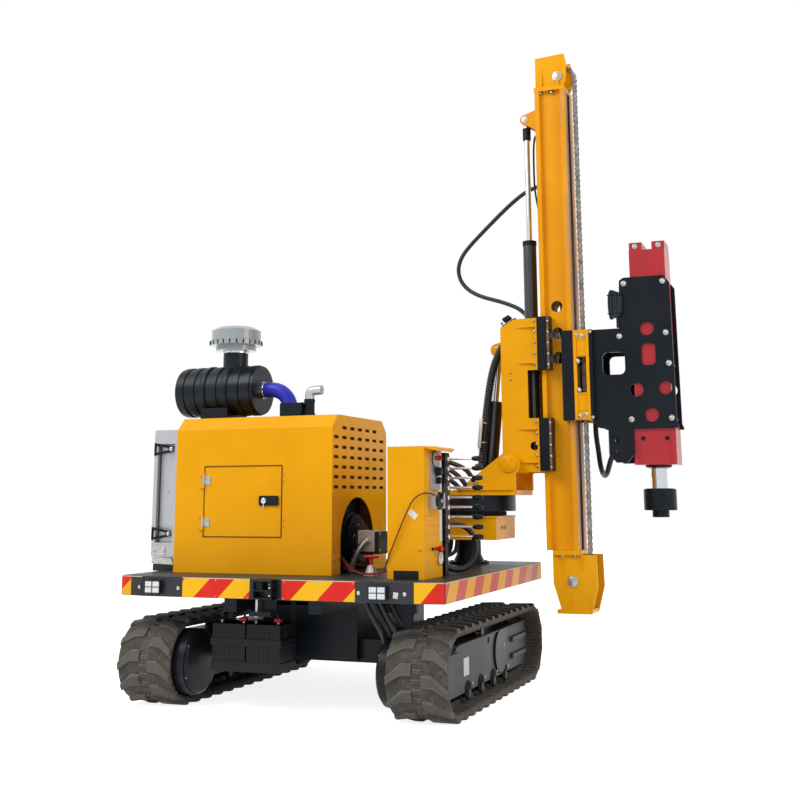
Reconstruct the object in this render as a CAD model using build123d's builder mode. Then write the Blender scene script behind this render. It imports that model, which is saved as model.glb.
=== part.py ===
"""Crawler pile driver rig with a slewing, tilting and sliding mast, in millimetres.

The machine stands on two rubber tracks. +Y is its forward direction, +X its
right-hand side and +Z is up. The mast is slewed to the right-hand side.
"""
import os
from math import atan2, cos, degrees, pi, radians, sin, sqrt, tan

from build123d import *

os.makedirs("parts", exist_ok=True)

# Clearances
seat_gap = 0.3
pin_gap = 0.1
guide_gap = 0.5
free_gap = 5

# Tracks
track_width = 400
track_gauge = 1916
track_rear = 20
track_length = 2330
track_height = 560
belt_thickness = 25
lug_height = 20
lug_length = 46
lug_sink = 4
lug_count = 50

# Track frames and what runs in them
frame_width = 230
frame_plate = 15
frame_bottom = 125
frame_height = 310
frame_margin = 70
roller_radius = 60
roller_count = 4
roller_rear = 396
roller_front = 524
roller_width = 150
top_roller_radius = 42
top_roller_y = 1037
sprocket_width = 50
sprocket_teeth = 14
drum_radius = 212
drum_reach = 70
hub_radius = 85

# Deck
deck_width = 2300
deck_length = 2370
deck_top = 851
deck_depth = 130
deck_plate = 8
deck_corner_x = 190
deck_corner_y = 42
board_thickness = 4
board_height = 124

# Engine hood
hood_left = -966
hood_right = 245
hood_rear = 372
hood_depth = 970
hood_top = 1915
hood_chamfer = 86
sheet = 4
door_left = -737
door_width = 610
door_bottom = 1092
door_height = 484
door_gap = 5
vent_length = 80
vent_height = 22
vent_pitch_y = 135
vent_pitch_z = 67
vent_rows = 6
vent_columns = 7
vent_top_columns = 5
vent_y = 839
vent_top = 1762
arch_radius = 288
arch_y = 802
arch_spring = 1070

# Air cleaner on the hood
cleaner_radius = 186
cleaner_length = 640
cleaner_x = -840
cleaner_y = 800
cleaner_z = 2136
neck_x = -752

# Radiator beside the hood
radiator_overhang = 46
radiator_left = -deck_width / 2 - radiator_overhang
radiator_thickness = 200
radiator_rear = 440
radiator_length = 830
radiator_bottom = 950
radiator_height = 890

# Control cabinet and its lever valve
cabinet_inset = 185
cabinet_width = 250
cabinet_right = deck_width / 2 - cabinet_inset
cabinet_left = cabinet_right - cabinet_width
cabinet_rear = 190
cabinet_depth = 340
cabinet_bottom = deck_top + 53
cabinet_top = deck_top + 825
lever_count = 9
lever_pitch = 63
lever_first = deck_top + 251
lever_y = cabinet_rear + cabinet_depth + 60
valve_right = cabinet_right + 20
lever_rod = 180
knob_length = 62

# Turret
turret_inset = 460
turret_setback = 420
turret_x = deck_width / 2 - turret_inset
turret_y = deck_length - turret_setback
base_bottom = deck_top + 189
base_top = base_bottom + 175
base_reach = 300
base_half = 260
column_radius = 92
lower_race_radius = 290
lower_race_height = 35
race_radius = 370
race_top = base_top + 154
turntable_thickness = 37
turntable_reach = 457
turntable_half = 270
ear_thickness = 25

# Tilt pivot and tilt cylinder
pivot_x = turret_x + 406
pivot_z = race_top + 231
pivot_radius = 40
boss_radius = 88
foot_pin_x = pivot_x - 231
foot_pin_z = pivot_z - 100
eye_pin_x = pivot_x - 131
eye_pin_z = pivot_z + 890
cylinder_pin = 22
cylinder_lug = 20
tilt_barrel_radius = 62
tilt_barrel_length = 545
tilt_rod_radius = 28

# Carrier that holds the mast
carrier_back = pivot_x - 61
carrier_front = pivot_x + 229
carrier_half = 200
carrier_wall = 16
carrier_bottom = pivot_z - 62
carrier_top = pivot_z + 1105
clamp_depth = 100
clamp_lip = 32

# Mast
mast_back = carrier_front + 20
mast_depth = 240
mast_half = 150
mast_bottom = pivot_z - 634
mast_top = mast_bottom + 3581
flange_thickness = 35
web_out = 110
web_thickness = 12
mast_slot = 80

# Lift cylinder beside the mast
lift_x = mast_back - 110
lift_barrel_radius = 53
lift_barrel_bottom = carrier_bottom + 102
lift_barrel_top = carrier_top + 650
lift_rod_radius = 22
lift_pin_z = mast_top - 187

# Chain and its two wheels
chain_x = mast_back + mast_depth + 55
chain_wheel_radius = 110
chain_thickness = 26
chain_width = 36
head_axle_z = mast_top + 117
foot_axle_z = mast_bottom - 221

# Hammer sledge
sledge_bottom = mast_bottom + 951
sledge_height = 679
sledge_back = mast_back + mast_depth + 15
sledge_front = sledge_back + 120
sledge_half = 190
sledge_wall = 16

# Hammer housing and breaker
housing_half = 150
housing_plate = 20
housing_reach = 632
housing_top = sledge_bottom + 1063
housing_foot = sledge_bottom - 72
housing_lug = sledge_bottom - 317
breaker_x = sledge_front + 452
breaker_width = 266
breaker_bottom = sledge_bottom - 334
breaker_top = sledge_bottom + 1273
shank_radius = 59
cap_radius = 118
cap_height = 152
cap_bottom = breaker_bottom - 175 - cap_height
spigot_radius = 61
spigot_length = 50

# Free hoses
mast_hose_radius = 17
deck_hose_radius = 19
hammer_hose_radius = 20
sleeve_radius = 32
sleeve_side = 114
sleeve_offset = 34
sleeve_clamp = 40

# The frame's origin lies on the ground, under the middle of the whole machine
reach_left = -radiator_left
reach_right = sledge_front + housing_reach
reach_rear = 36
reach_front = deck_length
mid_x = (reach_left - reach_right) / 2
mid_y = (reach_rear - reach_front) / 2

machine = Plane(origin=(mid_x, mid_y, 0))
side = Plane(origin=(mid_x, mid_y, 0), x_dir=(0, 1, 0), z_dir=(1, 0, 0))
rear = Plane(origin=(mid_x, mid_y, 0), x_dir=(1, 0, 0), z_dir=(0, -1, 0))


def across(y):
    """Plane that faces the rear at this distance forward, with X and Z as its axes."""
    return rear.offset(-y)


# Rubber tracks: each is one loop, its lugs staggered on its two halves
loop_radius = track_height / 2
loop_run = track_length - track_height
loop_y = track_rear + track_length / 2
belt_radius = loop_radius - lug_height
inner_radius = belt_radius - belt_thickness


def on_loop(s, radius):
    """Point and turn on the loop at this radius, s being the share of the way round."""
    way = s % 1 * (2 * loop_run + 2 * pi * radius)
    arc = pi * radius
    if way < loop_run:
        return Location((loop_y - loop_run / 2 + way, loop_radius - radius, 0), (0, 0, 0))
    way -= loop_run
    if way < arc:
        a = way / radius
        spot = (loop_y + loop_run / 2 + radius * sin(a), loop_radius - radius * cos(a), 0)
        return Location(spot, (0, 0, degrees(a)))
    way -= arc
    if way < loop_run:
        return Location((loop_y + loop_run / 2 - way, loop_radius + radius, 0), (0, 0, 180))
    a = (way - loop_run) / radius
    spot = (loop_y - loop_run / 2 - radius * sin(a), loop_radius + radius * cos(a), 0)
    return Location(spot, (0, 0, 180 + degrees(a)))


drive_y = track_rear + loop_radius
idler_y = track_rear + track_length - loop_radius
frame_top = frame_bottom + frame_height
inner_face = track_gauge / 2 - frame_width / 2
hands = (("left", -1), ("right", 1))

for hand, sign in hands:
    track_x = sign * track_gauge / 2
    with BuildPart() as track:
        for half, phase in ((-1, 0), (1, 0.5)):
            with BuildSketch(side.offset(track_x + half * track_width / 4)):
                with Locations((loop_y, loop_radius)):
                    SlotOverall(loop_run + 2 * belt_radius, 2 * belt_radius)
                spots = [on_loop((i + phase) / lug_count, belt_radius - lug_sink) for i in range(lug_count)]
                with Locations(*spots):
                    Rectangle(lug_length, lug_height + lug_sink, align=(Align.CENTER, Align.MAX))
                with Locations((loop_y, loop_radius)):
                    SlotOverall(loop_run + 2 * inner_radius, 2 * inner_radius, mode=Mode.SUBTRACT)
            extrude(amount=track_width / 4, both=True)
    track.part.label = f"track_{hand}"
    export_step(track.part, f"parts/track_{hand}.step")

# Track frames: two side plates under a top plate, open below for the rollers
roller_z = loop_radius - inner_radius + roller_radius + seat_gap
top_roller_z = loop_radius + inner_radius - top_roller_radius - seat_gap
frame_rear = drive_y - frame_margin
frame_length = idler_y - drive_y + 2 * frame_margin
window_y = idler_y - 626
window_radius = 105

with BuildPart(machine) as track_frames:
    for hand, sign in hands:
        track_x = sign * track_gauge / 2
        for plate_side in (-1, 1):
            plate_x = track_x + plate_side * (frame_width - frame_plate) / 2
            with BuildSketch(side.offset(plate_x)):
                with Locations((frame_rear + frame_length / 2, frame_bottom + frame_height / 2)):
                    RectangleRounded(frame_length, frame_height, 120)
                with Locations((window_y, frame_bottom + frame_height / 2)):
                    Circle(window_radius, mode=Mode.SUBTRACT)
            extrude(amount=frame_plate / 2, both=True)
        with Locations((track_x, (drive_y + idler_y) / 2, frame_top - frame_plate)):
            Box(frame_width - frame_plate, idler_y - drive_y - 2 * belt_radius, frame_plate,
                align=(Align.CENTER, Align.CENTER, Align.MIN))
        with Locations((track_x, top_roller_y, frame_top - frame_plate)):
            Box(roller_width + 10, 2 * top_roller_radius + 10, frame_plate,
                align=(Align.CENTER, Align.CENTER, Align.MIN), mode=Mode.SUBTRACT)
        with BuildSketch(side.offset(track_x - sign * frame_width / 2)):
            with Locations((drive_y, loop_radius)):
                Circle(hub_radius + seat_gap)
        extrude(amount=sign * frame_plate, mode=Mode.SUBTRACT)
track_frames.part.label = "track_frames"
export_step(track_frames.part, "parts/track_frames.step")

# Drive wheels: motor drum on the inner side, toothed wheel between the plates
wheel_radius = inner_radius - seat_gap
tooth_slot = 26
with BuildPart() as drive_wheels:
    for hand, sign in hands:
        track_x = sign * track_gauge / 2
        drum_in = track_x - sign * (track_width / 2 + drum_reach)
        drum_out = track_x - sign * (frame_width / 2)
        with BuildSketch(side.offset(drum_in)):
            with Locations((drive_y, loop_radius)):
                Circle(drum_radius)
        extrude(amount=drum_out - drum_in)
        with BuildSketch(side.offset(drum_out)):
            with Locations((drive_y, loop_radius)):
                Circle(hub_radius)
        extrude(amount=track_x - drum_out)
        with BuildSketch(side.offset(track_x)):
            with Locations((drive_y, loop_radius)):
                Circle(wheel_radius)
                with PolarLocations(wheel_radius, sprocket_teeth):
                    SlotOverall(2 * tooth_slot, tooth_slot, mode=Mode.SUBTRACT)
        extrude(amount=sprocket_width / 2, both=True)
drive_wheels.part.label = "drive_wheels"
export_step(drive_wheels.part, "parts/drive_wheels.step")

# Idlers: a plain wheel with its axle held between the frame plates
idler_width = 90
idler_hub = 70
with BuildPart() as idlers:
    for hand, sign in hands:
        track_x = sign * track_gauge / 2
        with BuildSketch(side.offset(track_x)):
            with Locations((idler_y, loop_radius)):
                Circle(wheel_radius)
        extrude(amount=idler_width / 2, both=True)
        with BuildSketch(side.offset(track_x)):
            with Locations((idler_y, loop_radius)):
                Circle(idler_hub)
        extrude(amount=frame_width / 2 - frame_plate, both=True)
idlers.part.label = "idlers"
export_step(idlers.part, "parts/idlers.step")

# Rollers: four below and one above, each with end blocks against the frame
roller_axle = 19
roller_spacing = (idler_y - drive_y - roller_rear - roller_front) / (roller_count - 1)
block_length = 60
with BuildPart(machine) as rollers:
    for hand, sign in hands:
        track_x = sign * track_gauge / 2
        for i in range(roller_count):
            roller_y = drive_y + roller_rear + i * roller_spacing
            with BuildSketch(side.offset(track_x)):
                with Locations((roller_y, roller_z)):
                    Circle(roller_radius)
            extrude(amount=roller_width / 2, both=True)
            with BuildSketch(side.offset(track_x)):
                with Locations((roller_y, roller_z)):
                    Circle(roller_axle)
            extrude(amount=frame_width / 2, both=True)
            for end in (-1, 1):
                block_x = track_x + end * (frame_width - frame_plate) / 2
                with Locations((block_x, roller_y, frame_bottom)):
                    Box(frame_plate, block_length, frame_bottom - roller_z + roller_axle,
                        align=(Align.CENTER, Align.CENTER, Align.MAX))
        with BuildSketch(side.offset(track_x)):
            with Locations((top_roller_y, top_roller_z)):
                Circle(top_roller_radius)
        extrude(amount=roller_width / 2, both=True)
        with BuildSketch(side.offset(track_x)):
            with Locations((top_roller_y, top_roller_z)):
                Circle(roller_axle)
        extrude(amount=frame_width / 2, both=True)
        for end in (-1, 1):
            block_x = track_x + end * (frame_width - frame_plate) / 2
            with Locations((block_x, top_roller_y, frame_top)):
                Box(frame_plate, block_length, top_roller_z - frame_top + roller_axle,
                    align=(Align.CENTER, Align.CENTER, Align.MIN))
rollers.part.label = "rollers"
export_step(rollers.part, "parts/rollers.step")

# Centre frame: a middle box on two cross tubes that reach the track frames, and two
# beams on it that carry the deck's plate
centre_half = 350
centre_rear = 560
centre_length = 1300
centre_bottom = 300
centre_top = 640
tube_depth = 170
tube_height = 150
tube_rows = (700, 1700)
beam_x = 300
beam_width = 90
rib_rows = (600, 1250, 1960)
rib_width = 60
deck_bottom = deck_top - deck_depth
plate_bottom = deck_top - deck_plate
with BuildPart(machine) as centre_frame:
    with Locations((0, centre_rear + centre_length / 2, centre_bottom)):
        Box(2 * centre_half, centre_length, centre_top - centre_bottom,
            align=(Align.CENTER, Align.CENTER, Align.MIN))
    for tube_y in tube_rows:
        with Locations((0, tube_y, centre_bottom - 20)):
            Box(2 * inner_face, tube_depth, tube_height, align=(Align.CENTER, Align.CENTER, Align.MIN))
    for beam_side in (-1, 1):
        with Locations((beam_side * beam_x, deck_length / 2, centre_top)):
            Box(beam_width, deck_length - 2 * deck_plate, plate_bottom - centre_top,
                align=(Align.CENTER, Align.CENTER, Align.MIN))
centre_frame.part.label = "centre_frame"
export_step(centre_frame.part, "parts/centre_frame.step")

# Deck: chequer plate with a skirt all round and ribs below, notched for the beams
with BuildPart(machine) as deck:
    with BuildSketch(machine.offset(deck_bottom)) as deck_outline:
        with BuildLine():
            Polyline(
                (-deck_width / 2, deck_corner_y),
                (-deck_width / 2 + deck_corner_x, 0),
                (deck_width / 2 - deck_corner_x, 0),
                (deck_width / 2, deck_corner_y),
                (deck_width / 2, deck_length),
                (-deck_width / 2, deck_length),
                close=True,
            )
        make_face()
    extrude(amount=deck_depth)
    with BuildSketch(machine.offset(deck_bottom)):
        add(deck_outline.sketch_local)
        offset(amount=-deck_plate, kind=Kind.INTERSECTION, mode=Mode.REPLACE)
    extrude(amount=deck_depth - deck_plate, mode=Mode.SUBTRACT)
    for rib_y in rib_rows:
        with Locations((0, rib_y, deck_bottom)):
            Box(deck_width - 2 * deck_plate, rib_width, deck_depth - deck_plate,
                align=(Align.CENTER, Align.CENTER, Align.MIN))
    for beam_side in (-1, 1):
        with Locations((beam_side * beam_x, deck_length / 2, deck_bottom)):
            Box(beam_width, deck_length - 2 * deck_plate, deck_depth - deck_plate,
                align=(Align.CENTER, Align.CENTER, Align.MIN), mode=Mode.SUBTRACT)
deck.part.label = "deck"
export_step(deck.part, "parts/deck.step")

# Towing lug under the deck's rear edge: flat plate with an upright pin hole
hitch_x = -42
hitch_hole = 16
hitch_plate = 25
hitch_width = 150
hitch_drop = 95
with BuildPart(machine) as hitch:
    with Locations((hitch_x, deck_plate, plate_bottom)):
        Box(hitch_width, hitch_plate, plate_bottom - deck_bottom + hitch_drop,
            align=(Align.CENTER, Align.MIN, Align.MAX))
    with BuildSketch(machine.offset(deck_bottom - hitch_drop)):
        with Locations((hitch_x, deck_plate + hitch_plate)):
            Rectangle(hitch_width, 110, align=(Align.CENTER, Align.MAX))
        with Locations((hitch_x, -28)):
            Circle(hitch_hole, mode=Mode.SUBTRACT)
    extrude(amount=hitch_plate)
hitch.part.label = "tow_lug"
export_step(hitch.part, "parts/tow_lug.step")

# Warning boards on the deck's edges
corner_run = sqrt(deck_corner_x ** 2 + deck_corner_y ** 2)
board_z = deck_bottom + deck_depth / 2
rear_boards = ((-653, -157), (71, 576))
with BuildPart(machine) as boards:
    for board_left, board_right in rear_boards:
        with Locations(((board_left + board_right) / 2, 0, board_z)):
            Box(board_right - board_left, board_thickness, board_height,
                align=(Align.CENTER, Align.MAX, Align.CENTER))
    for sign in (-1, 1):
        corner_turn = degrees(atan2(deck_corner_y, deck_corner_x)) * sign
        spot = (sign * (deck_width / 2 - deck_corner_x / 2), deck_corner_y / 2, board_z)
        with Locations(Location(spot, (0, 0, corner_turn))):
            Box(corner_run - 2 * board_thickness, board_thickness, board_height,
                align=(Align.CENTER, Align.MAX, Align.CENTER))
        with Locations((sign * deck_width / 2, (deck_length + deck_corner_y) / 2, board_z)):
            Box(board_thickness, deck_length - deck_corner_y, board_height,
                align=(Align.MIN if sign > 0 else Align.MAX, Align.CENTER, Align.CENTER))
boards.part.label = "warning_boards"
export_step(boards.part, "parts/warning_boards.step")

# Rear lamps
lamp_width = 120
lamp_height = 86
lamp_depth = 36
with BuildPart(machine) as lamps:
    for lamp_x in (-868, 733):
        with Locations((lamp_x, 0, deck_bottom + 62)):
            Box(lamp_width, lamp_depth, lamp_height, align=(Align.CENTER, Align.MAX, Align.CENTER))
lamps.part.label = "rear_lamps"
export_step(lamps.part, "parts/rear_lamps.step")

# Batteries in a tray hung under the deck
tray_left = -540
tray_width = 510
tray_rear = 190
tray_depth = 220
tray_bottom = 245
tray_height = 60
tray_plate = 6
battery_gap = 12
battery_height = 300
battery_width = (tray_width - 2 * tray_plate - battery_gap) / 2
with BuildPart(machine) as batteries:
    with Locations((tray_left + tray_width / 2, tray_rear + tray_depth / 2, tray_bottom)):
        Box(tray_width, tray_depth, tray_height, align=(Align.CENTER, Align.CENTER, Align.MIN))
    for battery_side in (-1, 1):
        battery_x = tray_left + tray_width / 2 + battery_side * (battery_width + battery_gap) / 2
        with Locations((battery_x, tray_rear + tray_depth / 2, tray_bottom + tray_height)):
            Box(battery_width, tray_depth - 2 * tray_plate, battery_height - tray_height,
                align=(Align.CENTER, Align.CENTER, Align.MIN))
    for hanger_x in (tray_left + 20, tray_left + tray_width - 20):
        with Locations((hanger_x, tray_rear + tray_depth, tray_bottom)):
            Box(40, tray_plate, plate_bottom - tray_bottom, align=(Align.CENTER, Align.MIN, Align.MIN))
        with Locations((hanger_x, tray_rear + tray_depth + tray_plate, plate_bottom)):
            Box(40, 60, tray_plate, align=(Align.CENTER, Align.MAX, Align.MAX))
batteries.part.label = "batteries"
export_step(batteries.part, "parts/batteries.step")

# Engine, one plain block with its feet on the deck
with BuildPart(machine) as engine:
    with Locations((-330, 860, 930)):
        Box(900, 560, 760, align=(Align.CENTER, Align.CENTER, Align.MIN))
    for foot_x in (-650, -10):
        for foot_y in (640, 1080):
            with Locations((foot_x, foot_y, deck_top)):
                Box(100, 80, 79, align=(Align.CENTER, Align.CENTER, Align.MIN))
engine.part.label = "engine"
export_step(engine.part, "parts/engine.step")

# Hood: bent sheet over the engine, its vented end with an arch for the pump, the door's
# opening and the outer knuckles of the door's hinges
hood_front = hood_rear + hood_depth
hood_length = hood_right - hood_left


def hood_outline(inset):
    """Side outline of the hood, drawn inside it by this distance, down to the deck."""
    low, high = hood_rear + inset, hood_front - inset
    cut = hood_chamfer - inset * (2 - sqrt(2))
    top = hood_top - inset
    Polyline(
        (low, deck_top),
        (low, top - cut),
        (low + cut, top),
        (high - cut, top),
        (high, top - cut),
        (high, deck_top),
        close=True,
    )


hinge_radius = 8
hinge_rows = (door_bottom + 100, door_bottom + door_height - 100)
with BuildPart(machine) as hood:
    with BuildSketch(side.offset(hood_left)):
        with BuildLine():
            hood_outline(0)
        make_face()
        with BuildLine():
            hood_outline(sheet)
        make_face(mode=Mode.SUBTRACT)
    extrude(amount=hood_length - sheet)
    with BuildSketch(across(hood_rear)):
        with Locations((door_left + door_width / 2, door_bottom + door_height / 2)):
            RectangleRounded(door_width, door_height, 20)
    extrude(amount=-sheet, mode=Mode.SUBTRACT)
    with BuildSketch(side.offset(hood_right - sheet)):
        with BuildLine():
            hood_outline(0)
        make_face()
        with Locations((vent_y, vent_top - (vent_rows - 1) * vent_pitch_z / 2)):
            with GridLocations(vent_pitch_y, vent_pitch_z, vent_columns, vent_rows):
                SlotOverall(vent_length, vent_height, mode=Mode.SUBTRACT)
        with Locations((vent_y, vent_top + vent_pitch_z)):
            with GridLocations(vent_pitch_y, vent_pitch_z, vent_top_columns, 1):
                SlotOverall(vent_length, vent_height, mode=Mode.SUBTRACT)
        with Locations((arch_y, arch_spring)):
            Circle(arch_radius, mode=Mode.SUBTRACT)
        with Locations((arch_y, deck_top)):
            Rectangle(2 * arch_radius, arch_spring - deck_top,
                      align=(Align.CENTER, Align.MIN), mode=Mode.SUBTRACT)
    extrude(amount=sheet)
    for hinge_z in hinge_rows:
        for end in (-1, 1):
            with Locations((door_left, hood_rear - hinge_radius, hinge_z + end * 42)):
                Cylinder(hinge_radius, 20)
            with Locations((door_left, hood_rear, hinge_z + end * 42)):
                Box(34, hinge_radius, 20, align=(Align.MAX, Align.MAX, Align.CENTER))
hood.part.label = "hood"
export_step(hood.part, "parts/hood.step")

# Hood door: flush sheet with a hinge on its left edge and a latch
latch_width = 147
latch_height = 64
with BuildPart(machine) as hood_door:
    with BuildSketch(across(hood_rear)):
        with Locations((door_left + door_width / 2, door_bottom + door_height / 2)):
            RectangleRounded(door_width - 2 * door_gap, door_height - 2 * door_gap, 15)
    extrude(amount=-sheet)
    with BuildSketch(across(hood_rear)):
        with Locations((door_left + door_width - door_gap - 20, door_bottom + 245)):
            RectangleRounded(latch_width, latch_height, 10, align=(Align.MAX, Align.CENTER))
    extrude(amount=8)
    for hinge_z in hinge_rows:
        with Locations((door_left, hood_rear - hinge_radius, hinge_z)):
            Cylinder(hinge_radius, 60)
        with Locations((door_left, hood_rear, hinge_z)):
            Box(40, 3, 60, align=(Align.MIN, Align.MAX, Align.CENTER))
hood_door.part.label = "hood_door"
export_step(hood_door.part, "parts/hood_door.step")

# Radiator and oil cooler beside the hood, on two rubber mounts
radiator_x = radiator_left + radiator_thickness / 2
radiator_y = radiator_rear + radiator_length / 2
tank_height = 90
with BuildPart(machine) as radiator:
    with Locations((radiator_x, radiator_y, radiator_bottom)):
        Box(radiator_thickness, radiator_length, radiator_height,
            align=(Align.CENTER, Align.CENTER, Align.MIN))
    with Locations((radiator_x, radiator_y, radiator_bottom + tank_height)):
        Box(radiator_thickness - 60, radiator_length + 1, radiator_height - 2 * tank_height,
            align=(Align.CENTER, Align.CENTER, Align.MIN), mode=Mode.SUBTRACT)
        Box(radiator_thickness - 90, radiator_length - 80, radiator_height - 2 * tank_height,
            align=(Align.CENTER, Align.CENTER, Align.MIN))
    for mount_y in (radiator_rear + 80, radiator_rear + radiator_length - 80):
        with Locations((radiator_x + 25, mount_y, deck_top)):
            Box(130, 120, radiator_bottom - deck_top, align=(Align.CENTER, Align.CENTER, Align.MIN))
radiator.part.label = "radiator"
export_step(radiator.part, "parts/radiator.step")

# Air cleaner: ribbed drum lying on a saddle, with the neck of its pre-cleaner
rib_depth = 8
rib_count = 7
saddle_width = 220
with BuildPart(machine) as cleaner:
    with BuildSketch(side.offset(cleaner_x)):
        with Locations((cleaner_y, cleaner_z)):
            Circle(cleaner_radius - rib_depth)
    extrude(amount=cleaner_length / 2, both=True)
    for i in range(rib_count):
        rib_x = cleaner_x + (i - (rib_count - 1) / 2) * cleaner_length / rib_count
        with BuildSketch(side.offset(rib_x)):
            with Locations((cleaner_y, cleaner_z)):
                Circle(cleaner_radius)
        extrude(amount=cleaner_length / rib_count / 4, both=True)
    with BuildSketch(machine.offset(cleaner_z)):
        with Locations((neck_x, cleaner_y)):
            Circle(92)
    extrude(amount=300)
    with Locations((cleaner_x, cleaner_y, hood_top)):
        Box(saddle_width, 300, 90, align=(Align.CENTER, Align.CENTER, Align.MIN))
cleaner.part.label = "air_cleaner"
export_step(cleaner.part, "parts/air_cleaner.step")

# Pre-cleaner: stepped flanges under a clear bowl
bowl_bottom = cleaner_z + 300
with BuildPart(machine) as precleaner:
    with BuildSketch(across(cleaner_y)) as bowl_profile:
        with BuildLine():
            Polyline(
                (neck_x, bowl_bottom),
                (neck_x + 150, bowl_bottom),
                (neck_x + 150, bowl_bottom + 34),
                (neck_x + 193, bowl_bottom + 40),
                (neck_x + 193, bowl_bottom + 75),
                (neck_x + 184, bowl_bottom + 80),
                (neck_x + 184, bowl_bottom + 150),
                (neck_x + 140, bowl_bottom + 175),
                (neck_x, bowl_bottom + 178),
                close=True,
            )
        make_face()
    revolve(axis=Axis((mid_x + neck_x, mid_y + cleaner_y, 0), (0, 0, 1)))
precleaner.part.label = "precleaner"
export_step(precleaner.part, "parts/precleaner.step")

# Intake hose from the air cleaner down into the hood
intake_radius = 55
intake_x = cleaner_x + cleaner_length / 2
intake_bend = 150
with BuildPart() as intake_hose:
    with BuildLine(across(cleaner_y)) as intake_path:
        FilletPolyline(
            (intake_x, cleaner_z),
            (intake_x + 230, cleaner_z),
            (intake_x + 230, hood_top),
            radius=intake_bend,
        )
    with BuildSketch(side.offset(intake_x)):
        with Locations((cleaner_y, cleaner_z)):
            Circle(intake_radius)
    sweep()
intake_hose.part.label = "intake_hose"
export_step(intake_hose.part, "parts/intake_hose.step")

# Exhaust pipe with its box on the hood's top
exhaust_x = -20
exhaust_y = 560
with BuildPart(machine) as exhaust:
    with Locations((exhaust_x, exhaust_y, hood_top)):
        Cylinder(36, 120, align=(Align.CENTER, Align.CENTER, Align.MIN))
    with Locations((exhaust_x - 120, exhaust_y, hood_top)):
        Box(170, 110, 95, align=(Align.CENTER, Align.CENTER, Align.MIN))
    with Locations((exhaust_x, exhaust_y, hood_top)):
        Box(90, 60, 50, align=(Align.MAX, Align.CENTER, Align.MIN))
exhaust.part.label = "exhaust"
export_step(exhaust.part, "parts/exhaust.step")

# Hydraulic pumps that stand out through the arch
pump_z = 1050
with BuildPart(machine) as pump:
    with BuildSketch(side.offset(120)):
        with Locations((arch_y, pump_z)):
            Circle(130)
    extrude(amount=170)
    with Locations((290, arch_y, pump_z)):
        Box(150, 170, 150, align=(Align.MIN, Align.CENTER, Align.CENTER))
pump.part.label = "pump"
export_step(pump.part, "parts/pump.step")

# Control cabinet: folded sheet open to the front, on two feet
cabinet_mid = (cabinet_left + cabinet_right) / 2
with BuildPart(machine) as cabinet:
    with Locations((cabinet_mid, cabinet_rear + cabinet_depth / 2, cabinet_bottom)):
        Box(cabinet_width, cabinet_depth, cabinet_top - cabinet_bottom,
            align=(Align.CENTER, Align.CENTER, Align.MIN))
    with Locations((cabinet_mid, cabinet_rear + sheet, cabinet_bottom + sheet)):
        Box(cabinet_width - 2 * sheet, cabinet_depth, cabinet_top - cabinet_bottom - 2 * sheet,
            align=(Align.CENTER, Align.MIN, Align.MIN), mode=Mode.SUBTRACT)
    for foot_x in (cabinet_left + 20, cabinet_right - 20):
        with Locations((foot_x, cabinet_rear + cabinet_depth / 2, deck_top)):
            Box(40, cabinet_depth, cabinet_bottom - deck_top,
                align=(Align.CENTER, Align.CENTER, Align.MIN))
cabinet.part.label = "control_cabinet"
export_step(cabinet.part, "parts/control_cabinet.step")

# Instruments on the cabinet's narrow side
with BuildPart(machine) as instruments:
    with Locations((cabinet_right, cabinet_rear + 190, cabinet_top - 156)):
        Box(10, 180, 230, align=(Align.MIN, Align.CENTER, Align.CENTER))
    with Locations((cabinet_right, cabinet_rear + 160, cabinet_top - 341)):
        Box(60, 150, 100, align=(Align.MIN, Align.CENTER, Align.CENTER))
instruments.part.label = "instruments"
export_step(instruments.part, "parts/instruments.step")

# Lever valve: a stack of sections with one lever each
valve_width = 140
valve_depth = 100
pedestal_width = 100
pedestal_depth = 60
valve_margin = 40
valve_bottom = lever_first - valve_margin
valve_height = (lever_count - 1) * lever_pitch + 2 * valve_margin
section_height = 50
with BuildPart(machine) as valve:
    with Locations((valve_right, lever_y, valve_bottom)):
        Box(valve_width - 20, valve_depth - 20, valve_height, align=(Align.MAX, Align.CENTER, Align.MIN))
    for i in range(lever_count):
        with Locations((valve_right, lever_y, lever_first + i * lever_pitch)):
            Box(valve_width, valve_depth, section_height, align=(Align.MAX, Align.CENTER, Align.CENTER))
    with Locations((valve_right - 10, lever_y, deck_top)):
        Box(pedestal_width, pedestal_depth, valve_bottom - deck_top,
            align=(Align.MAX, Align.CENTER, Align.MIN))
    for i in range(lever_count):
        with BuildSketch(side.offset(valve_right)):
            with Locations((lever_y, lever_first + i * lever_pitch)):
                Circle(6)
        extrude(amount=lever_rod)
        with BuildSketch(side.offset(valve_right + lever_rod)):
            with Locations((lever_y, lever_first + i * lever_pitch)):
                Circle(13)
        extrude(amount=knob_length)
valve.part.label = "lever_valve"
export_step(valve.part, "parts/lever_valve.step")

# Oil tank on the left front of the deck, behind the hood
tank_x = -560
tank_y = 1850
tank_width = 800
tank_depth = 500
oil_tank_height = 560
with BuildPart(machine) as oil_tank:
    with Locations((tank_x, tank_y, deck_top)):
        Box(tank_width, tank_depth, oil_tank_height, align=(Align.CENTER, Align.CENTER, Align.MIN))
    with Locations((tank_x - 200, tank_y - 100, deck_top + oil_tank_height)):
        Cylinder(55, 60, align=(Align.CENTER, Align.CENTER, Align.MIN))
oil_tank.part.label = "oil_tank"
export_step(oil_tank.part, "parts/oil_tank.step")

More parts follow.
